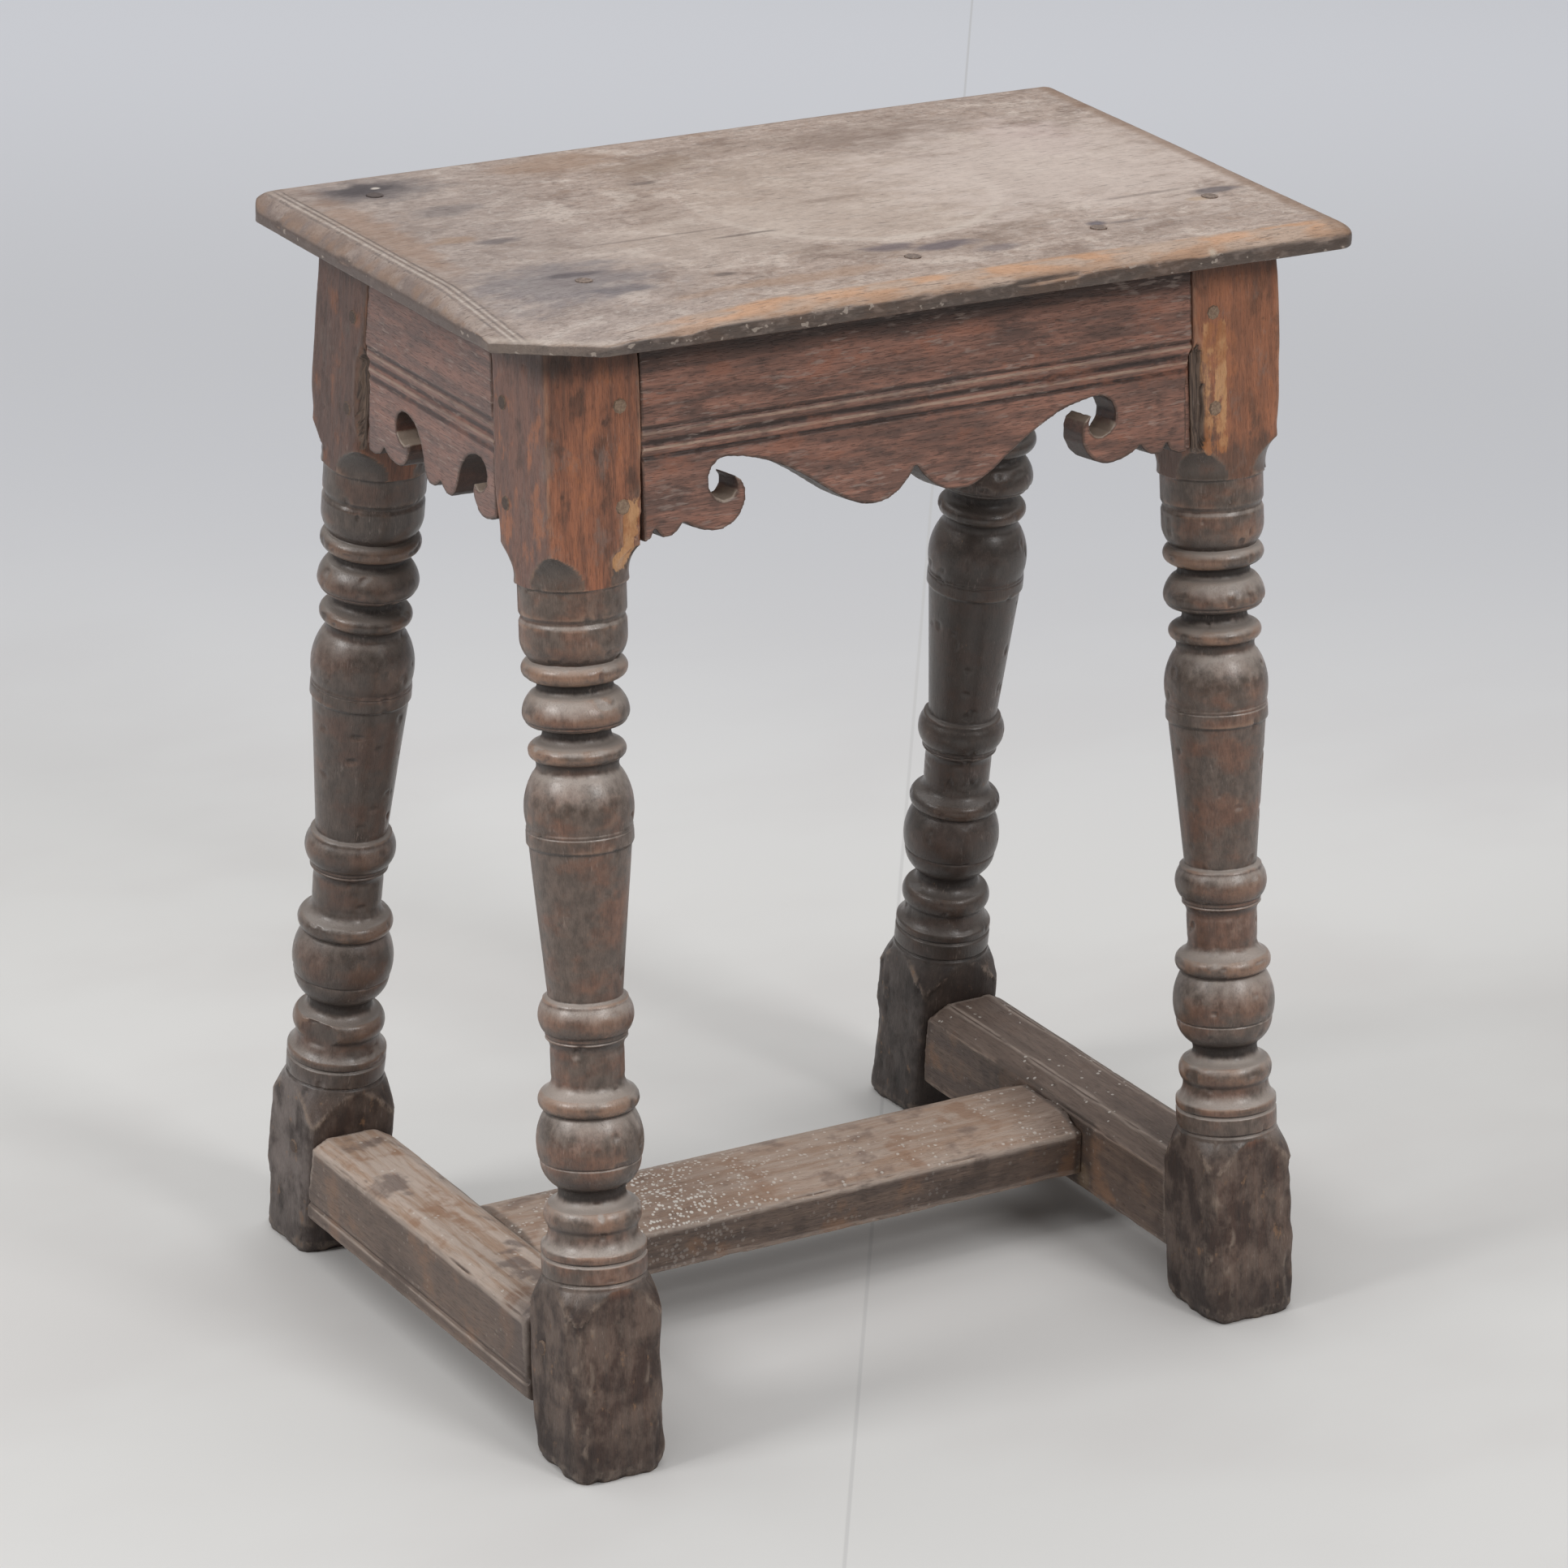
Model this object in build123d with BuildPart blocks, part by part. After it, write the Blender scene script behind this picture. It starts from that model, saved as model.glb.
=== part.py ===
from build123d import *
from math import sqrt
import os

os.makedirs("parts", exist_ok=True)

# ---- overall sizes of the stool -----------------------------------------
frame_height = 550.0
top_length = 406.5
foot_length = 418.5
top_width = 220.0
foot_width = 342.0

# ---- seat board ----------------------------------------------------------
seat_thickness = 13.5
seat_left = top_length / 2 + 27.75
seat_right_front = top_length / 2 + 21.25
seat_right_back = top_length / 2 + 32.75
seat_front_left = top_width / 2 + 30.0
seat_front_right = top_width / 2 + 37.5
seat_back = top_width / 2 + 31.0
seat_corner = 10.5
seat_mould_width = 9.5
seat_mould_drop = 3.3
seat_arris = 1.2
clip_along_front = 44.0
clip_along_end = 29.0
clip_lean = 6.0
worn_corner_reach = 60.0
worn_corner_drop = 7.0

# ---- turned legs ---------------------------------------------------------
leg_side = 51.0
block_bottom = frame_height - 95.0
foot_block_top = 92.6
foot_corner_cut = 8.1
foot_edge = 2.0

# ---- aprons --------------------------------------------------------------
apron_low = frame_height - 99.0
apron_thickness = 18.0
apron_recess = 1.0
reed_width = 5.4
reed_height = 1.5
long_reed_heights = (frame_height - 48.7, frame_height - 56.2)
short_reed_heights = (frame_height - 51.5, frame_height - 59.0)
long_scroll_middle = -5.3
left_scroll_middle = 14.0
right_scroll_middle = 0.0
sliver_depth = 5.5

# ---- stretchers ----------------------------------------------------------
stretcher_width = 46.0
stretcher_low = 23.0
stretcher_high = 68.5
stretcher_recess = 0.8
stretcher_bead_height = 33.0
stretcher_bead = 1.4
middle_low = 31.0
middle_high = 61.5
middle_front = -38.0
middle_back = 30.0
middle_bevel = 16.0
middle_bevel_drop = 7.0
middle_scribe = -20.5
outer_bevel = 8.0
outer_bevel_drop = 4.5
inner_bevel = 11.0
inner_bevel_drop = 6.5

# ---- joints --------------------------------------------------------------
tenon_inset = 6.0
tenon_thickness = 9.0
tenon_length = 27.0
tenon_low = apron_low + 11.0
tenon_high = frame_height - 24.0
stretcher_tenon_inset = 15.0
stretcher_tenon_thickness = 14.0
stretcher_tenon_low = 30.0
stretcher_tenon_high = 65.5
stretcher_tenon_length = 33.0
middle_tenon_low = 39.0
middle_tenon_high = 53.0
middle_tenon_margin = 12.0
middle_tenon_length = 30.0
joint_slack = 0.15
mortice_extra = 1.5

# ---- pegs and nails ------------------------------------------------------
peg_radius = 4.0
peg_slack = 0.1
peg_proud = 0.5
peg_point = 0.8
peg_length = 22.5
peg_from_shoulder = 11.5
peg_heights = (frame_height - 35.5, frame_height - 82.5)
stretcher_peg_height = stretcher_tenon_high - 7.0
stretcher_peg_from_shoulder = 17.5
stretcher_peg_length = 37.0
middle_peg_from_shoulder = 15.0
middle_peg_length = 34.0
nail_length = 34.0
nail_radius = 1.8
nail_slack = 0.1
nail_head_radius = 4.0
nail_head_thickness = 1.6
nail_sunk = 0.5
nail_places = [
    (26.2 - top_length / 2, top_width / 2 - 7.0),
    (top_length / 2 - 17.9, 34.1 - top_width / 2),
    (top_length / 2 - 96.9, 12.5 - top_width / 2),
    (0.8, 10.7 - top_width / 2),
    (46.7 - top_length / 2, 44.5 - top_width / 2),
]

# ---- lean of the legs ----------------------------------------------------
rake = (foot_width - top_width) / 2 / frame_height
splay = (foot_length - top_length) / 2 / frame_height
lean = sqrt(1 + rake**2 + splay**2)
half_side = leg_side / 2
beyond = foot_length + foot_width
corners = {
    "front_left": (-1, -1),
    "front_right": (1, -1),
    "back_left": (-1, 1),
    "back_right": (1, 1),
}
seat_underside = Plane.XY.offset(frame_height)


def leg_axis(end, side):
    """Plane at the foot of a leg whose normal runs up the leg's middle."""
    foot_x = end * (foot_length / 2 - half_side * sqrt(1 + splay**2))
    foot_y = side * (foot_width / 2 - half_side * sqrt(1 + rake**2))
    return Plane(
        origin=(foot_x, foot_y, 0),
        x_dir=(1, 0, end * splay),
        z_dir=(-end * splay, -side * rake, 1),
    )


def long_face(side):
    """Plane of the outer leg faces at the front (-1) or the back (1)."""
    return Plane(
        origin=(0, side * foot_width / 2, 0),
        x_dir=(-side, 0, 0),
        z_dir=(0, side, rake),
    )


def short_face(end):
    """Plane of the outer leg faces at the left end (-1) or the right (1)."""
    return Plane(
        origin=(end * foot_length / 2, 0, 0),
        x_dir=(0, end, 0),
        z_dir=(end, 0, splay),
    )


def across(face):
    """Plane square to a rail: x runs in from the face, y up its slope."""
    return Plane(origin=face.origin, x_dir=-face.z_dir, z_dir=face.x_dir)


def up(face, height):
    """Distance up a leaning face that reaches the given height."""
    return height / face.y_dir.Z


def long_shoulder(end, side):
    """Leg face that stops an apron of the front or back, facing inwards."""
    axis = leg_axis(end, side)
    point = axis.origin - axis.x_dir * (end * half_side)
    return Plane(origin=point, x_dir=axis.y_dir, z_dir=axis.x_dir * -end)


def short_shoulder(end, side):
    """Leg face that stops an end rail, facing inwards."""
    axis = leg_axis(end, side)
    point = axis.origin - axis.y_dir * (side * half_side)
    return Plane(origin=point, x_dir=axis.x_dir, z_dir=axis.y_dir * -side)


def middle_shoulder(end):
    """Inner face of a side stretcher, facing the middle of the stool."""
    face = short_face(end).offset(-stretcher_recess - stretcher_width)
    return Plane(origin=face.origin, x_dir=face.x_dir, z_dir=-face.z_dir)


def long_peg_place(end, side, height):
    """Where a peg enters the front or back face of a leg."""
    axis = leg_axis(end, side)
    sideways = end * (peg_from_shoulder - half_side)
    place = axis.from_local_coords((sideways, side * half_side, height * lean))
    return Plane(origin=place, x_dir=axis.x_dir, z_dir=axis.y_dir * -side)


def short_peg_place(end, side, height, from_shoulder):
    """Where a peg enters the outer end face of a leg."""
    axis = leg_axis(end, side)
    sideways = side * (from_shoulder - half_side)
    place = axis.from_local_coords((end * half_side, sideways, height * lean))
    return Plane(origin=place, x_dir=axis.y_dir, z_dir=axis.x_dir * -end)


def middle_peg_place(end):
    """Where a peg enters the underside of a side stretcher."""
    shoulder = middle_shoulder(end)
    place_x = shoulder.origin.X + end * middle_peg_from_shoulder
    place_y = (middle_front + middle_back) / 2
    return Plane(origin=(place_x, place_y, stretcher_low), z_dir=(0, 0, 1))


def apron_peg_places(end, side):
    """The four apron pegs of one leg: two in its long face, two in its end."""
    long_places = [long_peg_place(end, side, height) for height in peg_heights]
    short_places = [
        short_peg_place(end, side, height, peg_from_shoulder)
        for height in peg_heights
    ]
    return long_places, short_places


def stretcher_peg_place(end, side):
    """The one peg that holds a side stretcher in a leg."""
    return short_peg_place(
        end, side, stretcher_peg_height, stretcher_peg_from_shoulder
    )


def bores(places, length):
    """Peg holes, a hair wider than the pegs and a little deeper."""
    with BuildPart() as holes:
        for place in places:
            with BuildSketch(place.offset(-mortice_extra)):
                Circle(peg_radius + peg_slack)
            extrude(amount=length + 2 * mortice_extra)
    return holes.part


def finish(part, name):
    """Label a finished piece and write it."""
    part.label = name
    export_step(part, f"parts/{name}.step")


def save_pegs(name, places, length):
    """Pegs whittled to eight sides, eased at both ends and left a bit proud."""
    with BuildPart() as pegs:
        for place in places:
            with BuildSketch(place.offset(-peg_proud)):
                RegularPolygon(peg_radius, 8)
            extrude(amount=length + peg_proud)
        ends = pegs.edges().filter_by(lambda edge: edge.length < peg_radius)
        chamfer(ends, length=peg_point)
    finish(pegs.part, name)


def tenon_bar(section, near, far, low, high, shoulders, length):
    """Bar drawn right through a rail that ends as its two tenons."""
    with BuildPart() as bar:
        with BuildSketch(section):
            with Locations(((near + far) / 2, (low + high) / 2)):
                Rectangle(far - near, high - low)
        extrude(amount=beyond / 2, both=True)
        for shoulder in shoulders:
            split(bisect_by=shoulder.offset(-length), keep=Keep.TOP)
    return bar.part


def apron_tenons(face, shoulders, slack=0.0, extra=0.0):
    """Bar of an apron's tenons, or with slack the mortices that take them."""
    near = apron_recess + tenon_inset - slack
    far = apron_recess + tenon_inset + tenon_thickness + slack
    low = up(face, tenon_low) - slack
    high = up(face, tenon_high) + slack
    length = tenon_length + extra
    return tenon_bar(across(face), near, far, low, high, shoulders, length)


def stretcher_tenons(end, slack=0.0, extra=0.0):
    """Tenons of a side stretcher, or with slack their mortices."""
    near = stretcher_recess + stretcher_tenon_inset - slack
    far = near + stretcher_tenon_thickness + 2 * slack
    low = stretcher_tenon_low - slack
    high = stretcher_tenon_high + slack
    shoulders = [short_shoulder(end, side) for side in (-1, 1)]
    section = across(short_face(end))
    length = stretcher_tenon_length + extra
    return tenon_bar(section, near, far, low, high, shoulders, length)


def middle_tenons(slack=0.0, extra=0.0):
    """Tenons of the middle stretcher, or with slack their mortices."""
    near = middle_front + middle_tenon_margin - slack
    far = middle_back - middle_tenon_margin + slack
    low = middle_tenon_low - slack
    high = middle_tenon_high + slack
    shoulders = [middle_shoulder(end) for end in (-1, 1)]
    length = middle_tenon_length + extra
    return tenon_bar(Plane.YZ, near, far, low, high, shoulders, length)


def long_rail_shoulders(side):
    return [long_shoulder(end, side) for end in (-1, 1)]


def short_rail_shoulders(end):
    return [short_shoulder(end, side) for side in (-1, 1)]


# ---- nails that hold the seat --------------------------------------------
head_seat = frame_height + seat_thickness - nail_sunk - nail_head_thickness
with BuildPart() as seat_nails:
    for place in nail_places:
        with BuildSketch(Plane.XY.offset(head_seat)):
            with Locations(place):
                RegularPolygon(nail_head_radius, 8)
        extrude(amount=nail_head_thickness)
        with BuildSketch(Plane.XY.offset(head_seat)):
            with Locations(place):
                RegularPolygon(nail_radius, 4)
        extrude(amount=-nail_length)
finish(seat_nails.part, "seat_nails")

with BuildPart() as nail_holes:
    for place in nail_places:
        with BuildSketch(Plane.XY.offset(head_seat)):
            with Locations(place):
                Circle(nail_head_radius + nail_slack)
        extrude(amount=seat_thickness)
        with BuildSketch(Plane.XY.offset(head_seat)):
            with Locations(place):
                Circle(nail_radius + nail_slack)
        extrude(amount=-nail_length - nail_sunk)


# ---- seat board ----------------------------------------------------------
front_left = (-seat_left, -seat_front_left)
front_right = (seat_right_front, -seat_front_right)
back_right = (seat_right_back, seat_back)
back_left = (-seat_left, seat_back)
clip_end = (-seat_left, -seat_front_left + clip_along_end)
with BuildPart() as seat_board:
    with BuildSketch(seat_underside) as seat_outline:
        with BuildLine():
            Polyline(front_left, front_right, back_right, back_left, close=True)
        make_face()
        fillet(seat_outline.vertices(), radius=seat_corner)
    extrude(amount=seat_thickness)
    top = seat_board.faces().sort_by(Axis.Z)[-1]
    chamfer(
        top.edges(),
        length=seat_mould_width,
        length2=seat_mould_drop,
        reference=top,
    )
    fillet(seat_board.faces().sort_by(Axis.Z)[-1].edges(), radius=seat_arris * 2)
    rim = seat_board.edges().group_by(Axis.Z)[0]
    chamfer(rim, length=seat_arris)
    broken = Plane(
        origin=(*clip_end, frame_height),
        x_dir=(clip_along_front, -clip_along_end, 0),
        z_dir=(clip_along_end, clip_along_front, -clip_lean),
    )
    split(bisect_by=broken, keep=Keep.TOP)
    worn_fall = worn_corner_drop / worn_corner_reach
    worn = Plane(
        origin=(*clip_end, frame_height + seat_thickness - worn_corner_drop),
        x_dir=(clip_along_front, -clip_along_end, 0),
        z_dir=(
            clip_along_end * worn_fall,
            clip_along_front * worn_fall,
            -sqrt(clip_along_end**2 + clip_along_front**2),
        ),
    )
    split(bisect_by=worn, keep=Keep.TOP)
    add(nail_holes.part, mode=Mode.SUBTRACT)
finish(seat_board.part, "seat_board")


# ---- splinters broken off beside two of the joints ------------------------
def splinter(face, end, outline):
    """Wedge of lost wood, by distance past a joint and depth below the seat."""
    joint = end * (foot_length / 2 - leg_side)
    tilt = splay
    if face.z_dir.Y == 0:
        joint = end * (foot_width / 2 - leg_side * sqrt(1 + rake**2))
        tilt = rake
    points = []
    for past, depth in outline:
        height = frame_height - depth
        points.append((joint + end * (past - tilt * height), up(face, height)))
    with BuildPart() as wedge:
        with BuildSketch(face.offset(sliver_depth)):
            with BuildLine():
                Polyline(*points, close=True)
            make_face()
        extrude(amount=-2 * sliver_depth, taper=-3)
    return wedge.part


front_sliver = splinter(
    long_face(-1),
    1,
    [
        (-4.4, 103),
        (-5.1, 95),
        (-3.5, 59),
        (2.0, 45.4),
        (5.5, 53),
        (6.4, 80),
        (6.0, 94),
        (3.1, 103),
    ],
)
left_sliver = splinter(
    short_face(-1),
    -1,
    [
        (-11.1, 103),
        (-8.1, 82),
        (-6.4, 65),
        (1.1, 48.2),
        (5.4, 58),
        (4.9, 80),
        (1.4, 103),
    ],
)


# ---- turned legs ---------------------------------------------------------
def turned(radius, height):
    """Point of the turner's pattern, stretched from a 51 mm leg to this one."""
    stretch = (block_bottom - foot_block_top) / (455.0 - 92.6)
    reach = foot_block_top + (height - 92.6) * stretch
    return Vector(half_side - 25.5 + radius, reach * lean)


def flats(curve, count):
    """A curve cut as short flats: the points where they meet, after its start."""
    return [curve @ (step / count) for step in range(1, count + 1)]


def rounded(start, through, end, count):
    """Flats of a round stretch that passes through a point."""
    return flats(ThreePointArc(start, through, end, mode=Mode.PRIVATE), count)


def turn(profile, *stretches):
    """Run the profile on through round stretches, each from the last point."""
    for through, end, count in stretches:
        profile += rounded(profile[-1], turned(*through), turned(*end), count)


def cut(profile, *points):
    """Run the profile on in straight lines."""
    profile += [turned(*point) for point in points]


profile = [Vector(0, beyond), Vector(leg_side, beyond)]
cut(profile, (51, 451.6), (36.4, 450.2))
turn(profile, ((29.3, 443.6), (26.8, 431), 3))
cut(profile, (25.4, 430.6), (25.4, 417.3), (24.2, 414.8), (25.3, 412.2), (25.3, 405))
turn(
    profile,
    ((24.1, 399), (21.2, 394.6), 2),
    ((25.0, 389.8), (20.4, 385), 3),
    ((16.6, 381.4), (21.6, 377.4), 2),
)
cut(profile, (23, 376.2))
turn(
    profile,
    ((25.4, 369.5), (22.6, 363.4), 3),
    ((16.4, 357.6), (19.9, 354.6), 2),
    ((23.1, 351), (20.6, 346.8), 3),
)
cut(profile, (19.35, 343.8))
turn(profile, ((24.6, 334.5), (25.1, 315), 4))
cut(profile, (25.3, 313.4), (25.3, 306.4), (24.1, 305.2), (18, 231.8), (20.2, 230.6))
turn(profile, ((21.9, 221), (19.6, 212.4), 3))
cut(profile, (17.55, 207.2), (17.55, 189.6), (19.6, 188.6))
turn(profile, ((23.7, 180.2), (21.4, 172.6), 3))
cut(profile, (25.1, 164))
turn(profile, ((24.6, 151), (18, 138.6), 4))
cut(profile, (16.3, 136.4), (16.3, 133.2))
turn(profile, ((22.7, 126), (21.4, 118.4), 3))
cut(profile, (22.6, 112.6), (25.3, 109.4), (25.3, 106.2), (24.4, 105), (25.4, 103.8))
cut(profile, (25.4, 92.6))
turn(profile, ((29.6, 84.2), (25.5 + foot_corner_cut, 73.4), 3))
profile += [Vector(half_side + foot_corner_cut, -half_side), Vector(0, -half_side)]

with BuildPart() as leg_blank:
    with BuildSketch(Plane.XY.offset(-half_side)):
        Rectangle(leg_side, leg_side)
    extrude(amount=(frame_height + leg_side) * lean)
    with BuildSketch(Plane.XZ):
        with BuildLine():
            Polyline(*profile, close=True)
        make_face()
    revolve(axis=Axis.Z, mode=Mode.INTERSECT)

for name, (end, side) in corners.items():
    long_places, short_places = apron_peg_places(end, side)
    with BuildPart() as leg:
        add(leg_blank.part.moved(leg_axis(end, side).location))
        split(bisect_by=seat_underside, keep=Keep.BOTTOM)
        split(bisect_by=Plane.XY, keep=Keep.TOP)
        chamfer(leg.edges().group_by(Axis.Z)[0], length=foot_edge)
        add(
            apron_tenons(
                long_face(side), long_rail_shoulders(side), joint_slack, mortice_extra
            ),
            mode=Mode.SUBTRACT,
        )
        add(
            apron_tenons(
                short_face(end), short_rail_shoulders(end), joint_slack, mortice_extra
            ),
            mode=Mode.SUBTRACT,
        )
        add(stretcher_tenons(end, joint_slack, mortice_extra), mode=Mode.SUBTRACT)
        add(bores(long_places + short_places, peg_length), mode=Mode.SUBTRACT)
        add(
            bores([stretcher_peg_place(end, side)], stretcher_peg_length),
            mode=Mode.SUBTRACT,
        )
        add(nail_holes.part, mode=Mode.SUBTRACT)
        if name == "front_right":
            add(front_sliver, mode=Mode.SUBTRACT)
        if name == "back_left":
            add(left_sliver, mode=Mode.SUBTRACT)
    finish(leg.part, f"leg_{name}")
    save_pegs(f"pegs_long_{name}", long_places, peg_length)
    save_pegs(f"pegs_short_{name}", short_places, peg_length)


# ---- aprons --------------------------------------------------------------
def drawn(points, count):
    """Flats of a smooth line through points."""
    return flats(Spline(*points, mode=Mode.PRIVATE), count)


def long_scroll(face, middle, hand):
    """Half of a long apron's sawn edge, from its middle to a shoulder."""
    stretch = (foot_length / 2 - splay * apron_low - leg_side) / 153.3

    def point(out, height):
        height = apron_low + height - 451.0
        return Vector(middle + hand * out * stretch, up(face, height))

    lobe = [
        point(0, 467.3),
        point(5.5, 459.6),
        point(13, 454),
        point(24, 451.3),
        point(38, 455.6),
        point(60, 470),
        point(82, 480.9),
        point(101, 485.2),
    ]
    edge = [lobe[0]] + drawn(lobe, 16)
    edge += rounded(edge[-1], point(113.2, 475.6), point(104.6, 465), 6)
    edge += rounded(edge[-1], point(97.6, 469.4), point(100, 476.8), 4)
    hook = [
        edge[-1],
        point(93.6, 470.4),
        point(94.8, 460.8),
        point(102.5, 453),
        point(113.5, 452.2),
        point(127, 458.4),
    ]
    edge += drawn(hook, 10)
    edge += rounded(edge[-1], point(130.8, 453.9), point(138, 452.2), 3)
    edge.append(point(142.2, 457.8))
    edge += rounded(edge[-1], point(144.4, 452.8), point(149, 451), 2)
    return edge


def short_scroll(face, middle, hand):
    """Half of an end apron's sawn edge, from its middle to a shoulder."""
    room = foot_width / 2 - rake * apron_low - leg_side * sqrt(1 + rake**2)
    stretch = room / 69.7

    def point(out, height):
        height = apron_low + height - 451.0
        return Vector(middle + hand * out * stretch, up(face, height))

    lobe = [
        point(0, 457.6),
        point(4.4, 453.9),
        point(10.5, 452.8),
        point(15.6, 458.2),
        point(18.8, 467.6),
        point(24.4, 476),
        point(34.5, 480.2),
    ]
    edge = [lobe[0]] + drawn(lobe, 12)
    edge += rounded(edge[-1], point(45.4, 471.2), point(37.2, 463.6), 6)
    edge.append(point(32.6, 466.2))
    hook = [
        edge[-1],
        point(32.8, 459),
        point(37.8, 453.6),
        point(46, 452.3),
        point(57, 457.2),
    ]
    edge += drawn(hook, 8)
    edge += rounded(edge[-1], point(60.4, 453), point(66, 451), 2)
    return edge


def reeds(face, heights):
    """Sunk channel that leaves two half-round reeds level with the face."""
    half_reed = reed_width / 2
    upper, lower = [up(face, height) for height in heights]
    top_edge = upper + half_reed
    low_edge = lower - half_reed
    with BuildPart() as channel:
        with BuildSketch(across(face.offset(-apron_recess))):
            with BuildLine():
                Polyline(
                    (reed_height, top_edge),
                    (0, top_edge + reed_height),
                    (-reed_height, top_edge + reed_height),
                    (-reed_height, low_edge - reed_height),
                    (0, low_edge - reed_height),
                    (reed_height, low_edge),
                )
                ThreePointArc(
                    (reed_height, low_edge), (0.1, lower), (reed_height, lower + half_reed)
                )
                Line((reed_height, lower + half_reed), (reed_height, upper - half_reed))
                ThreePointArc(
                    (reed_height, upper - half_reed), (0.1, upper), (reed_height, top_edge)
                )
            make_face()
        extrude(amount=beyond / 2, both=True)
    return channel.part


def save_apron(name, face, scroll, middle, heights, shoulders, places, sliver=None):
    """Sawn and reeded apron board with a tenon and two peg holes at each end."""
    far_out = beyond / 3
    foot = up(face, apron_low)
    head = up(face, frame_height + apron_thickness)
    waste = scroll(face, middle, -1)[::-1] + scroll(face, middle, 1)[1:]
    waste += [(middle + far_out, foot), (middle + far_out, foot - apron_thickness)]
    waste += [(middle - far_out, foot - apron_thickness), (middle - far_out, foot)]
    with BuildPart() as board:
        with BuildSketch(face.offset(-apron_recess)):
            with Locations((0, (foot + head) / 2)):
                Rectangle(2 * far_out, head - foot)
        extrude(amount=-apron_thickness)
        for shoulder in shoulders:
            split(bisect_by=shoulder, keep=Keep.TOP)
        split(bisect_by=seat_underside, keep=Keep.BOTTOM)
        add(apron_tenons(face, shoulders))
        with BuildSketch(face.offset(-apron_recess)):
            with BuildLine():
                Polyline(*waste, close=True)
            make_face()
        extrude(amount=-apron_thickness, mode=Mode.SUBTRACT)
        add(reeds(face, heights), mode=Mode.SUBTRACT)
        if sliver:
            add(sliver, mode=Mode.SUBTRACT)
        add(bores(places, peg_length), mode=Mode.SUBTRACT)
        add(nail_holes.part, mode=Mode.SUBTRACT)
    finish(board.part, name)


for name, side in {"front": -1, "back": 1}.items():
    places = []
    for end in (-1, 1):
        places += [long_peg_place(end, side, height) for height in peg_heights]
    save_apron(
        f"apron_{name}",
        long_face(side),
        long_scroll,
        long_scroll_middle * -side,
        long_reed_heights,
        long_rail_shoulders(side),
        places,
        front_sliver if name == "front" else None,
    )

for name, end in {"left": -1, "right": 1}.items():
    places = []
    for side in (-1, 1):
        places += apron_peg_places(end, side)[1]
    save_apron(
        f"apron_{name}",
        short_face(end),
        short_scroll,
        left_scroll_middle if name == "left" else right_scroll_middle,
        short_reed_heights,
        short_rail_shoulders(end),
        places,
        left_sliver if name == "left" else None,
    )


# ---- stretchers ----------------------------------------------------------
for name, end in {"left": -1, "right": 1}.items():
    face = short_face(end)
    with BuildPart() as stretcher:
        with BuildSketch(across(face.offset(-stretcher_recess))):
            with BuildLine():
                Polyline(
                    (0, stretcher_low + stretcher_bead),
                    (0, stretcher_bead_height - stretcher_bead),
                    (stretcher_bead, stretcher_bead_height),
                    (0, stretcher_bead_height + stretcher_bead),
                    (0, stretcher_high - outer_bevel_drop),
                    (outer_bevel, stretcher_high),
                    (stretcher_width - inner_bevel, stretcher_high),
                    (stretcher_width, stretcher_high - inner_bevel_drop),
                    (stretcher_width, stretcher_low + stretcher_bead),
                    (stretcher_width - stretcher_bead, stretcher_low),
                    (stretcher_bead, stretcher_low),
                    close=True,
                )
            make_face()
        extrude(amount=beyond / 2, both=True)
        for shoulder in short_rail_shoulders(end):
            split(bisect_by=shoulder, keep=Keep.TOP)
        add(stretcher_tenons(end))
        add(middle_tenons(joint_slack, mortice_extra), mode=Mode.SUBTRACT)
        peg_places = [stretcher_peg_place(end, side) for side in (-1, 1)]
        add(bores(peg_places, stretcher_peg_length), mode=Mode.SUBTRACT)
        add(bores([middle_peg_place(end)], middle_peg_length), mode=Mode.SUBTRACT)
    finish(stretcher.part, f"stretcher_{name}")
    save_pegs(f"pegs_stretcher_{name}", peg_places, stretcher_peg_length)

middle_peg_places = [middle_peg_place(end) for end in (-1, 1)]
with BuildPart() as stretcher_middle:
    with BuildSketch(Plane.YZ):
        with BuildLine():
            Polyline(
                (middle_front, middle_low),
                (middle_front, middle_high - middle_bevel_drop),
                (middle_front + middle_bevel, middle_high),
                (middle_scribe - stretcher_bead / 2, middle_high),
                (middle_scribe, middle_high - stretcher_bead / 2),
                (middle_scribe + stretcher_bead / 2, middle_high),
                (middle_back - middle_bevel, middle_high),
                (middle_back, middle_high - middle_bevel_drop),
                (middle_back, middle_low),
                close=True,
            )
        make_face()
    extrude(amount=beyond / 2, both=True)
    for end in (-1, 1):
        split(bisect_by=middle_shoulder(end), keep=Keep.TOP)
    add(middle_tenons())
    add(bores(middle_peg_places, middle_peg_length), mode=Mode.SUBTRACT)
finish(stretcher_middle.part, "stretcher_middle")
save_pegs("pegs_stretcher_middle", middle_peg_places, middle_peg_length)
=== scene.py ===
from functools import reduce
from math import cos, pi, radians, sin, sqrt

import bpy
import numpy as np
from mathutils import Matrix, Vector
from mathutils.geometry import convex_hull_2d


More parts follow.
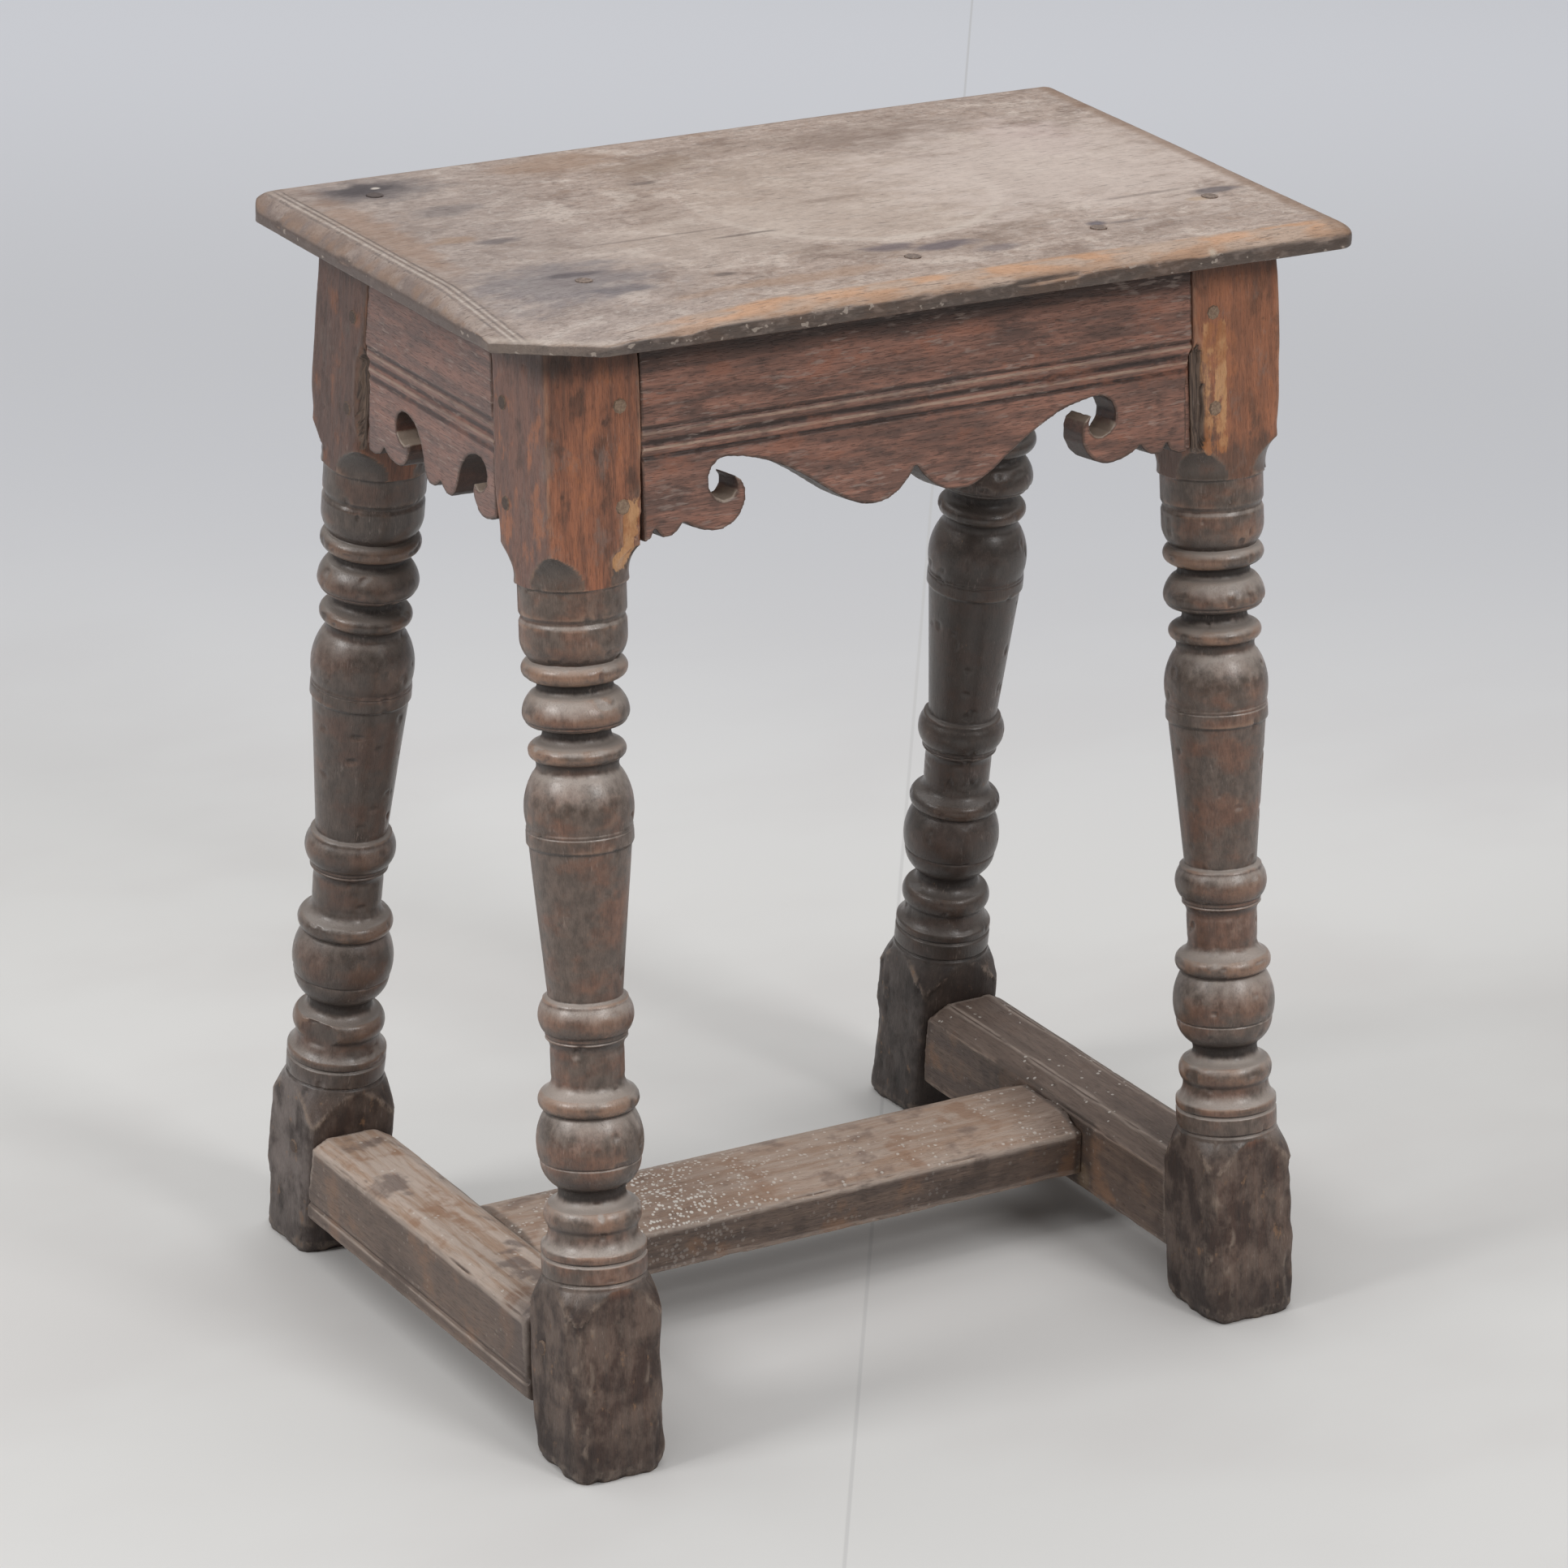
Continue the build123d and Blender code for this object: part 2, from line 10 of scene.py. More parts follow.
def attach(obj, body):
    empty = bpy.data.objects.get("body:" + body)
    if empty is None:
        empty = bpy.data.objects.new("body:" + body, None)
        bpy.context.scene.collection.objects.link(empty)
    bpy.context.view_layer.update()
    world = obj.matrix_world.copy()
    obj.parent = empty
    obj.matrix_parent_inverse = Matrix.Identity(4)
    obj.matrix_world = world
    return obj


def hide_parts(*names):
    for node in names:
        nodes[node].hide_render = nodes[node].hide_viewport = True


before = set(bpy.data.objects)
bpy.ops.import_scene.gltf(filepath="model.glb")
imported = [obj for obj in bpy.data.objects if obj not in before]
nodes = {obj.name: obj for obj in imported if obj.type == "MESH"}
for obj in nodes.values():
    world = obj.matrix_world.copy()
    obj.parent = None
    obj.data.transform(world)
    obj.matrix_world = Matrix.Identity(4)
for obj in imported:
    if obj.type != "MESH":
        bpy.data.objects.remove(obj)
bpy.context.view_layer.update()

# ---- Legs ------------------------------------------------------------------
# Four legs of riven oak two inches square, turned on a pole lathe between a
# square top block and a square foot. They lean out a little at the ends and
# more at the front and back, and every rail is tenoned into them.
mm = 0.001
frame_height = 550.0
foot_length, foot_width = 418.5, 342.0
half_side = 25.5
rake, splay = 61.0 / frame_height, 6.0 / frame_height
lean = sqrt(1 + rake**2 + splay**2)
corners = {
    "front_left": (-1, -1),
    "front_right": (1, -1),
    "back_left": (-1, 1),
    "back_right": (1, 1),
}
leg_columns, leg_rows = 152, 640
# The painted shadow under the seat begins at the last of these heights.
shaft_radius, foot_top, block_bottom, seat_shadow_line = 25.4, 92, 431, 527

# The turner's profile from the top down, in mm: plain points are (radius,
# height), and a pair is a round stretch, through the first to the second.
turning = [
    (51, 550), (51, 451.6), (36.4, 450.2), ((29.3, 443.6), (26.8, 431)), (25.4, 430.6),
    (25.4, 417.3), (24.2, 414.8), (25.3, 412.2), (25.3, 405), ((24.1, 399), (21.2, 394.6)),
    ((25.0, 389.8), (20.4, 385)), ((17.9, 382.2), (20.6, 378.6)),
    ((23.6, 374.6), (25.0, 370.6)), ((25.0, 367.2), (22.6, 363.4)),
    ((16.4, 357.6), (19.9, 354.6)), ((23.1, 351), (20.6, 346.8)),
    ((19.35, 343.8), (21.0, 339.8)), ((25.4, 327.9), (24.8, 315)), (25.3, 313.4),
    (25.3, 306.4), (24.1, 305.2), (18, 231.8), (20.4, 231), (20.6, 229.4),
    ((22.9, 222), (20.8, 215.4)), (19.8, 214.8), (19.8, 211.6),
    ((18.2, 209.4), (17.7, 205)), (17.55, 193.5), ((18.7, 187.6), (22.2, 185.2)),
    ((24.1, 181.4), (22.8, 177.6)), (20.8, 176.2), ((25.4, 163.5), (24.2, 151.4)),
    ((22.2, 144.4), (17.2, 139.2)), (16.3, 137.4), ((17.2, 132.2), (21.6, 129.6)),
    ((23.4, 125.2), (21.6, 119.2)), ((22.6, 112.6), (25.3, 109.4)), (25.3, 106.2),
    (24.4, 105), (25.4, 103.8), (25.4, 96.2), (24.6, 95), (25.4, 93.8), (25.5, 92.6),
    ((29.6, 84.2), (33.6, 73.4)), (33.6, 0),
]
# Lines scribed round the leg: how deep at which height.
scribed = {365.5: 0.5, 313.0: 0.4, 212.4: 0.5, 152.0: 0.6, 105.0: 0.4, 95.0: 0.4}


def bow(start, through, end):
    """Points of the round stretch that runs from start through a point to end."""
    a, b, c = complex(*start), complex(*through), complex(*end)
    ratio = (c - a) / (b - a)
    centre = a - (a - b) * (ratio - abs(ratio) ** 2) / (2j * ratio.imag)
    arm = a - centre
    turn_b = np.angle((b - centre) / arm) % (2 * pi)
    turn_c = np.angle((c - centre) / arm) % (2 * pi)
    sweep = turn_c if turn_b < turn_c else turn_c - 2 * pi
    points = centre + arm * np.exp(1j * np.linspace(0, sweep, 40)[1:])
    return [(p.real, p.imag) for p in points]


def turned_rows():
    """Radius and height of each row of a leg, closest at the scribed lines."""
    steps, block_share, near_line, line_width = 6000, 0.66, 2.5, 1.6
    line = []
    for stretch in turning:
        if isinstance(stretch[0], tuple):
            line += bow(line[-1], *stretch)
        else:
            line.append(stretch)
    line = np.array(line[::-1], float)
    reach = np.append(0, np.cumsum(np.hypot(*np.diff(line, axis=0).T)))
    fine = np.linspace(0, reach[-1], steps)
    radius, height = np.interp(fine, reach, line[:, 0]), np.interp(fine, reach, line[:, 1])
    is_turned = (height > foot_top) & (height < block_bottom + 27)
    closeness = np.where(is_turned, 1.0, block_share)
    for place in scribed:
        closeness += near_line * np.exp(-(((height - place) / line_width) ** 2))
    reach = np.append(0, np.cumsum(closeness[1:]))
    rows = np.interp(np.linspace(0, reach[-1], leg_rows), reach, fine)
    radius, height = np.interp(rows, fine, radius), np.interp(rows, fine, height)
    for place, depth in scribed.items():
        radius -= depth * np.clip(1 - np.abs(height - place) / (line_width / 2), 0, 1)
    return radius, height


def lattice(points, seed):
    """Smooth noise from -1 to 1 at points whose cells are one unit wide."""
    stride, scatter = np.array([127.1, 311.7, 74.7]), 43758.5453
    cell = np.floor(points)
    part = points - cell
    part = part * part * (3 - 2 * part)
    total = np.zeros(len(points))
    for corner in range(8):
        step = np.array([corner & 1, corner >> 1 & 1, corner >> 2 & 1])
        share = np.prod(np.where(step, part, 1 - part), axis=1)
        mixed = (cell + step) @ stride + seed * 53.3
        total += share * ((np.sin(mixed) * scatter) % 1)
    return total * 2 - 1


def rough(points, sizes, seed, layers=2):
    """Layered noise from about -1 to 1 whose lumps have these sizes in mm."""
    total, weight = 0, 0
    for layer in range(layers):
        total = total + lattice(points * 2**layer / np.array(sizes), seed + layer) / 2**layer
        weight += 1 / 2**layer
    return total / weight


def ease(values, low, high):
    """0 below low, 1 above high and smooth between."""
    share = np.clip((values - low) / (high - low), 0, 1)
    return share * share * (3 - 2 * share)


def leg_axes(end, side):
    """A leg's own x, y and z directions, and the middle of its foot."""
    up = Vector((-end * splay, -side * rake, 1)).normalized()
    sideways = Vector((1, 0, end * splay)).normalized()
    foot_x = end * (foot_length / 2 - half_side * sqrt(1 + splay**2))
    foot_y = side * (foot_width / 2 - half_side * sqrt(1 + rake**2))
    return np.array([sideways, up.cross(sideways), up]), np.array([foot_x, foot_y, 0])


def inside(outline, across, up):
    """How far points are inside a convex outline, in mm, negative outside."""
    outline = np.array(outline, float)
    centre = outline.mean(0)
    depth = np.full(len(across), np.inf)
    for a, b in zip(outline, np.roll(outline, -1, axis=0)):
        square = np.array([a[1] - b[1], b[0] - a[0]]) / np.hypot(*(b - a))
        square *= np.sign((centre - a) @ square)
        depth = np.minimum(depth, (across - a[0]) * square[0] + (up - a[1]) * square[1])
    return depth


def read(mesh, what):
    """The places or the normals of a mesh's points, one row each."""
    values = np.empty(len(mesh.vertices) * 3, np.float32)
    mesh.vertices.foreach_get(what, values)
    return values.reshape(-1, 3).astype(float)


def relief(mesh, rounds):
    """How far each point of a mesh stands out of its surroundings, in mm."""
    count = len(mesh.vertices)
    place = read(mesh, "co") / mm
    ends = np.empty(len(mesh.edges) * 2, np.int32)
    mesh.edges.foreach_get("vertices", ends)
    a, b = ends[0::2], ends[1::2]
    near = np.bincount(ends, minlength=count)[:, None]
    soft = place.copy()
    for _ in range(rounds):
        total = [
            np.bincount(a, soft[b, k], count) + np.bincount(b, soft[a, k], count)
            for k in range(3)
        ]
        soft = (soft + np.stack(total, 1) / near) / 2
    return ((place - soft) * read(mesh, "normal")).sum(1)


def mark(mesh, name, values):
    """Give each point of a mesh a number or a vector that its finish reads."""
    vector = values.ndim == 2
    attribute = mesh.attributes.new(name, "FLOAT_VECTOR" if vector else "FLOAT", "POINT")
    flat = values.astype(np.float32).ravel()
    attribute.data.foreach_set("vector" if vector else "value", flat)


def put(name, data):
    """A new object in the scene."""
    thing = bpy.data.objects.new(name, data)
    bpy.context.scene.collection.objects.link(thing)
    return thing


def timber_piece(name, mesh, timber, node, finish):
    """A finished piece of timber that stands for its CAD node."""
    mesh.shade_smooth()
    mark(mesh, "timber", timber)
    mark(mesh, "proud", relief(mesh, 14))
    finish.cover(mesh)
    piece = put(name, mesh)
    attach(piece, "root")
    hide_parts(node)
    return piece


class Wire:
    """A value inside a finish that takes part in ordinary arithmetic."""

    def __init__(self, finish, socket):
        self.finish = finish
        self.socket = socket

    def __add__(self, other):
        return self.finish.math("ADD", self, other)

    def __sub__(self, other):
        return self.finish.math("SUBTRACT", self, other)

    def __rsub__(self, other):
        return self.finish.math("SUBTRACT", other, self)

    def __mul__(self, other):
        return self.finish.math("MULTIPLY", self, other)

    def __abs__(self):
        return self.finish.math("ABSOLUTE", self)

    __radd__ = __add__
    __rmul__ = __mul__


def shade(tone):
    """A tone as it looks on a screen, 0 to 255, as light. A wire stays one."""
    if isinstance(tone, Wire):
        return tone
    parts = [value / 255 for value in tone]
    lights = [v / 12.92 if v <= 0.04045 else ((v + 0.055) / 1.055) ** 2.4 for v in parts]
    return (*lights, 1)


class Finish:
    """A material: what a surface is made of and how it has worn."""

    def __init__(self, name):
        self.material = bpy.data.materials.new(name)
        self.material.use_nodes = True
        self.tree = self.material.node_tree
        self.shader = self.tree.nodes["Principled BSDF"]
        self.material.diffuse_color = shade((110, 85, 70))

    def cover(self, mesh):
        """Give a mesh this material and no other."""
        mesh.materials.clear()
        mesh.materials.append(self.material)

    def add(self, kind, settings=None, inputs=None, output=0):
        """Put in a node, set it up, join its inputs and give back an output."""
        node = self.tree.nodes.new(kind)
        for key, value in (settings or {}).items():
            setattr(node, key, value)
        self.join(node, inputs or {})
        return Wire(self, node.outputs[output])

    def join(self, node, inputs):
        """Join wires to a node's inputs, and set the ones that are constant."""
        for key, value in inputs.items():
            if isinstance(value, Wire):
                self.tree.links.new(value.socket, node.inputs[key])
            else:
                node.inputs[key].default_value = value

    def math(self, operation, *values):
        return self.add("ShaderNodeMath", {"operation": operation}, dict(enumerate(values)))

    def most(self, a, b):
        return self.math("MAXIMUM", a, b)

    def given(self, name, output="Fac"):
        """A number, or with "Vector" a vector, that the mesh carries."""
        return self.add("ShaderNodeAttribute", {"attribute_name": name}, output=output)

    def place(self):
        """Where a point is on the stool, in mm."""
        where = self.add("ShaderNodeTexCoord", output="Object")
        return self.stretch(where, (1000, 1000, 1000))

    def vector(self, operation, *values, output=0):
        settings = {"operation": operation}
        inputs = dict(enumerate(values))
        return self.add("ShaderNodeVectorMath", settings, inputs, output)

    def stretch(self, vector, factors):
        return self.vector("MULTIPLY", vector, factors)

    def facing(self):
        """Which way the surface looks, as three numbers from -1 to 1."""
        return self.parts(self.add("ShaderNodeNewGeometry", output="Normal"))

    def spot(self, place, middle, radii, wobble=0.0):
        """1 inside a stain at a place, fading to 0 at its radii in mm."""
        away = self.vector("SUBTRACT", place, middle)
        away = self.stretch(away, [1 / radius for radius in radii])
        reach = self.vector("LENGTH", away, output="Value")
        return self.ease(reach + wobble, 1.0, 0.35)

    def lines(self, value, places, outer, inner):
        """1 where a value is within inner of one of the places, 0 past outer."""
        masks = [self.ease(abs(value - place), outer, inner) for place in places]
        return reduce(self.most, masks)

    def parts(self, vector):
        """The three numbers of a vector."""
        split = self.add("ShaderNodeSeparateXYZ", inputs={0: vector})
        return [Wire(self, output) for output in split.socket.node.outputs]

    def noise(self, vector, sizes, detail=2.0, roughness=0.5, distortion=0.0):
        """Noise about 0.5 whose lumps have these sizes in mm."""
        inputs = {
            "Vector": self.stretch(vector, [1 / size for size in sizes]),
            "Scale": 1.0,
            "Detail": detail,
            "Roughness": roughness,
            "Distortion": distortion,
        }
        return self.add("ShaderNodeTexNoise", inputs=inputs)

    def ease(self, value, low, high):
        """0 at low, 1 at high and smooth between."""
        inputs = {"Value": value, "From Min": low, "From Max": high}
        settings = {"interpolation_type": "SMOOTHSTEP"}
        return self.add("ShaderNodeMapRange", settings, inputs)

    def mix(self, a, b, factor):
        """Tone a, with tone b over it by a factor."""
        inputs = {0: factor, 6: shade(a), 7: shade(b)}
        return self.add("ShaderNodeMix", {"data_type": "RGBA"}, inputs, output=2)

    def paint(self, tone, mask):
        """Lay a tone over the finish's colour where the mask is 1."""
        self.colour = self.mix(self.colour, tone, mask)

    def bump(self, height):
        """Small relief, with its height in mm."""
        return self.add("ShaderNodeBump", inputs={"Height": height, "Distance": mm})

    def set(self, **sockets):
        """Set the shader's own sockets, named with _ for a space."""
        names = {key.replace("_", " "): value for key, value in sockets.items()}
        self.join(self.shader, names)


def oak(name, heart, deep, pale, worn, grime, pore_share=0.5, soot=0.6, dull=0.0):
    """Old oak: streaks, fibres and pores, paler where rubbed, with painted shade and grime in
    hollows.
    """
    finish = Finish(name)
    timber = finish.given("timber", "Vector")
    proud = finish.given("proud")
    cloud = finish.noise(timber, (70, 26, 26), detail=4, roughness=0.6)
    streak = finish.noise(timber, (50, 5, 5), detail=5, roughness=0.65, distortion=0.4)
    fibre = finish.noise(timber, (26, 0.6, 0.6), detail=3, roughness=0.6)
    pore = finish.noise(timber, (5.5, 0.45, 0.45), detail=1.5)
    finish.colour = finish.mix(deep, heart, finish.ease(streak, 0.34, 0.66))
    finish.paint(pale, finish.ease(fibre * 0.6 + streak * 0.4, 0.5, 0.74) * 0.8)
    finish.paint(grime, finish.ease(cloud, 0.48, 0.74) * soot)
    rubbed = finish.ease(proud + (cloud - 0.5) * 0.5 + (fibre - 0.5) * 0.3, 0.08, 0.5)
    finish.paint(worn, rubbed * 0.6)
    # Hollows darkened with the grime tone: painted shade, with some grime.
    hollow = finish.ease((streak - 0.5) * 0.15 - proud, 0.03, 0.32)
    finish.paint(grime, hollow * 0.85)
    open_pore = finish.ease(pore, 0.56, 0.66)
    finish.paint(grime, open_pore * pore_share)
    finish.timber, finish.proud, finish.hollow = timber, proud, hollow
    finish.cloud, finish.streak, finish.fibre = cloud, streak, fibre
    finish.gloss = 0.38 + dull + cloud * 0.12 - rubbed * 0.08 + hollow * 0.15 + open_pore * 0.1
    finish.set(Roughness=finish.gloss)
    finish.set(Normal=finish.bump(fibre * 0.12 - open_pore * 0.12 + streak * 0.1))
    return finish


def dusted(finish, amount, size=1.0):
    """Chalky flecks left in the grain, as thick as the amount says."""
    chalk = finish.noise(finish.timber, (4.5 * size, 0.9 * size, 0.9 * size), detail=2)
    finish.paint((166, 148, 138), finish.ease(chalk, 0.56, 0.7) * amount)


def leg_finish():
    """Dark turned oak: orange-brown blocks, grey-brown turnings, dark feet."""
    finish = oak(
        "leg_oak",
        heart=(166, 106, 77), deep=(122, 83, 66), pale=(186, 128, 98),
        worn=(166, 130, 108), grime=(60, 47, 42), pore_share=0.25, soot=0.45,
    )
    place = finish.place()
    across, back, height = finish.parts(place)
    facing = finish.facing()
    turned = finish.given("round") * finish.ease(height, 84, 96)
    left_side_light = finish.ease(facing[0], -0.5, -0.95)
    # Painted shade: the blocks' left-facing sides greyer and darker.
    finish.paint((106, 86, 81), left_side_light * (1 - turned) * 0.68)
    # The turned parts: brown and grey, painted lighter above as dust and highlight, and painted
    # dark below and in the grooves as shade.
    tint = finish.noise(place, (26, 26, 18), detail=4, roughness=0.6)
    fleck = finish.noise(place, (5, 5, 7), detail=4, roughness=0.65)
    brown = finish.mix((86, 64, 52), (120, 89, 72), finish.ease(fleck, 0.32, 0.68))
    finish.paint(brown, turned * 0.8)
    grey = finish.mix((80, 70, 62), (106, 93, 84), finish.ease(fleck, 0.34, 0.66))
    finish.paint(grey, turned * finish.ease(tint, 0.62, 0.42) * 0.85)
    # Painted highlight with some dust: upward faces lighter.
    dust_and_highlight = finish.ease(facing[2] + (tint - 0.5) * 0.6 + (fleck - 0.5) * 0.5, 0.1, 0.75) * turned
    finish.paint((188, 176, 167), dust_and_highlight * 0.82)
    # Painted shade: downward faces darker.
    underside_shade = finish.ease((tint - 0.5) * 0.4 - facing[2], -0.02, 0.55) * turned
    finish.paint((38, 29, 25), underside_shade * 0.8)
    # Painted shade deep in the grooves.
    groove = finish.ease(finish.given("groove"), 0.2, 2.6)
    groove = groove * (1 - dust_and_highlight * 0.6)
    finish.paint((32, 25, 22), groove * 0.85)
    crest = finish.ease(finish.proud, 0.12, 0.45) * turned * finish.ease(tint, 0.4, 0.6)
    finish.paint((166, 130, 106), crest * 0.6)
    moon = turned * finish.ease(height, block_bottom + 1, block_bottom + 4)
    finish.paint((74, 65, 58), moon * finish.ease(fleck, 0.25, 0.6) * 0.6)
    # The feet: dark and mottled, with painted light making the back feet's left-facing sides grey.
    foot = finish.ease(height + (finish.cloud - 0.5) * 24, 104, foot_top)
    mottle = finish.noise(place, (14, 14, 20), detail=4, roughness=0.65)
    dark = finish.mix((54, 45, 41), (104, 90, 81), finish.ease(mottle, 0.38, 0.62))
    finish.paint(dark, foot * 0.9)
    lit_foot_side = foot * left_side_light * finish.ease(back, 0, 100)
    finish.paint((150, 138, 133), lit_foot_side * finish.ease(mottle, 0.3, 0.6) * 0.85)
    # The blocks: orange oak with stains, smoke and ash.
    stain = finish.noise(place, (13, 13, 26), detail=5, roughness=0.65)
    block = (1 - turned) * finish.ease(height, 300, 320)
    finish.paint((74, 56, 48), block * finish.ease(stain, 0.48, 0.34) * 0.65)
    finish.paint((188, 118, 76), block * finish.ease(stain, 0.55, 0.68) * 0.5)
    finish.paint((186, 124, 88), block * finish.ease(across, 60, 160) * 0.2)
    smoke = finish.ease(height + (stain - 0.5) * 60, 462, 444) * finish.ease(across, 100, 160)
    finish.paint((84, 70, 62), block * smoke * 0.65)
    ash = finish.noise(place, (16, 16, 30), detail=5, roughness=0.7)
    finish.paint((128, 112, 104), block * finish.ease(ash, 0.56, 0.68) * 0.5)
    # Painted shadow under the seat; darker towards the back, and darkest at the back right.
    finish.paint((60, 47, 42), finish.ease(height, seat_shadow_line, 540) * 0.65)
    finish.paint((52, 45, 42), finish.ease(back, -30, 70) * 0.42)
    far = finish.ease(across, 0, 100) * finish.ease(back, 0, 80)
    finish.paint((42, 36, 33), far * 0.52)
    # Wood torn bare, and split off beside the joints.
    bare = finish.given("bare")
    fresh = finish.mix((176, 116, 74), (208, 158, 112), finish.ease(mottle, 0.4, 0.6))
    torn_off = bare + (finish.fibre - 0.5) * 0.9 + (fleck - 0.5) * 1.6
    finish.paint(fresh, finish.ease(torn_off, 0.38, 0.66) * 0.88)
    split = finish.given("split")
    torn = finish.mix((72, 60, 54), (124, 104, 90), finish.ease(finish.fibre, 0.4, 0.6))
    finish.paint(torn, finish.ease(split, 0.2, 0.7))
    # The feet's arrises, kicked pale, and darker towards their bottoms.
    worn_off = finish.noise(place, (6, 6, 10), detail=4, roughness=0.65)
    low = finish.ease(height, 96, 84)
    arris = finish.ease(finish.proud, 0.12, 0.5) * low
    finish.paint((150, 132, 118), arris * finish.ease(worn_off, 0.42, 0.6) * 0.75)
    finish.paint((146, 112, 84), low * finish.ease(worn_off, 0.62, 0.7) * 0.6)
    finish.paint((42, 36, 34), low * finish.ease(height, 40, 4) * 0.45)
    dusted(finish, finish.ease(mottle, 0.5, 0.7) * 0.35)
    gloss = finish.gloss - turned * 0.06 + low * 0.12
    finish.set(Base_Color=finish.colour, Roughness=gloss)
    finish.set(Coat_Weight=turned * 0.45 * (1 - groove), Coat_Roughness=0.3)
    return finish


radius_of_row, height_of_row = turned_rows()
# How deep each row lies in a groove between the wider rows above and below it,
# and how far it stands out as a crest; the finish paints shade deep in the grooves.
beside_row = height_of_row[:, None] - height_of_row
body_of_row = np.minimum(radius_of_row, shaft_radius)
over_row = np.where(beside_row < 0, body_of_row - 0.4 * np.abs(beside_row), 0)
over_row = np.maximum(over_row, body_of_row - 1.6 * np.abs(beside_row))
groove_of_row = np.clip(over_row.max(axis=1) - radius_of_row, 0, 6)
nearby = np.exp(-((beside_row / 6.0) ** 2)) * np.gradient(height_of_row)
crest_of_row = body_of_row - nearby @ body_of_row / nearby.sum(axis=1)
turn_angle = np.linspace(0, 2 * pi, leg_columns, endpoint=False)
turn_angle += 0.125 * np.sin(4 * turn_angle)  # closer at the arrises
splinter_depth = 5.3
# Outlines of the lost wood, as (place along the leg's face, height).
splinters = {
    "front_right": [
        (149, 447), (148.2, 455), (149.4, 491), (154.7, 504.6),
        (158.3, 497), (159.5, 470), (159.3, 456), (156.5, 447),
    ],
    "back_left": [
        (59, 447), (59.7, 468), (59.5, 485), (65.1, 501.8),
        (70.5, 492), (72.5, 470), (71.5, 447),
    ],
}
leg_oak = leg_finish()


def worn_leg(name, side, points, radius, height, blocky, seed):
    """How far each point of a leg is pushed out, and how bare its wood is."""
    foot = ease(height, 110, 70)
    push = rough(points, (45, 45, 60), seed) * 0.28
    push += rough(points, (1.3, 1.3, 30), seed + 5) * np.where(blocky, 0.12, 0.05)
    dent = ease(rough(points, (6, 6, 7), seed + 9), 0.4, 0.75)
    push -= dent * np.where(blocky, 0.35, 0.8)
    crest = np.repeat(ease(crest_of_row, 0.3, 1.5), leg_columns) * ~blocky
    push -= crest * ease(rough(points, (7, 7, 4), seed + 31, 3), 0.3, 0.7)
    # The stretcher's end covers part of the foot, and that part isn't worn.
    covered = ease(points[:, 1] * -side, 5, 18) * ease(height, 82, 72) * ease(height, 8, 20)
    free = 1 - 0.85 * covered
    arris = ease(radius, 28.5, 32.5) * blocky
    wear = ease(rough(points, (13, 13, 22), seed + 13, 3), -0.3, 0.7) * (0.8 + 2.4 * foot)
    push -= arris * wear * free
    push -= foot * ease(rough(points, (11, 11, 18), seed + 17, 2), -0.1, 0.8) * 1.5 * free
    push += foot * rough(points, (3, 3, 5), seed + 19) * 0.16
    push -= ease(height, 4, 0) * (2.0 + 1.5 * rough(points, (9, 9, 9), seed + 21))
    bare = np.zeros(len(points))
    if name == "front_left":
        torn = rough(points, (6, 6, 12), seed + 23, 3)
        middle = 21.5 - 3.5 * ease(height, 456, 444)
        reach = np.abs(points[:, 0] - middle) / 7 + 0.9 * ease(points[:, 1], -25, -17)
        reach += 0.5 * np.exp(-(((height - 450) / 3.5) ** 2))
        bare = ease(1.05 - reach + torn * 0.9, 0.0, 0.35)
        bare *= ease(height, 474, 465) * ease(height, 434, 442)
        push -= bare * 2.2
    if name == "front_right":
        ragged = 5 * rough(points, (4, 4, 22), seed + 25)
        strip = ease(np.abs(points[:, 0] + 15) + ragged, 10, 5) * ease(-points[:, 1], 22, 24.5)
        bare = strip * ease(height, 441, 447) * ease(height, 514, 508)
        bare *= 0.62 + 0.6 * rough(points, (2.6, 2.6, 40), seed + 23)
    if name == "back_left":
        broken = np.clip(points[:, :2] @ (-0.85, -0.53) - 20.2, 0, None)
        push -= broken * ease(height, 115, 118) * ease(height, 134, 131)
    return push, bare


def splintered(name, world):
    """A leg's points with the splinter beside a joint gone, and how torn each is."""
    if name not in splinters:
        return world, np.zeros(len(world))
    if name == "front_right":
        out, across = np.array([0, -1, 0]), world[:, 0]
        skin = foot_width / 2 - rake * world[:, 2]
    else:
        out, across = np.array([-1, 0, 0]), world[:, 1]
        skin = foot_length / 2 - splay * world[:, 2]
    depth = inside(splinters[name], across, world[:, 2])
    depth = ease(depth + rough(world, (1.5, 1.5, 12), 71) * 0.8, -0.2, 1.2) * splinter_depth
    depth += rough(world, (1.2, 1.2, 16), 72) * 0.5 * (depth > 1)
    proud = world @ out - (skin - depth)
    cut = np.clip(proud, 0, None) * (depth > 0.05)
    return world - out * cut[:, None], ease(depth, 0.6, 2.5) * (proud > -1)


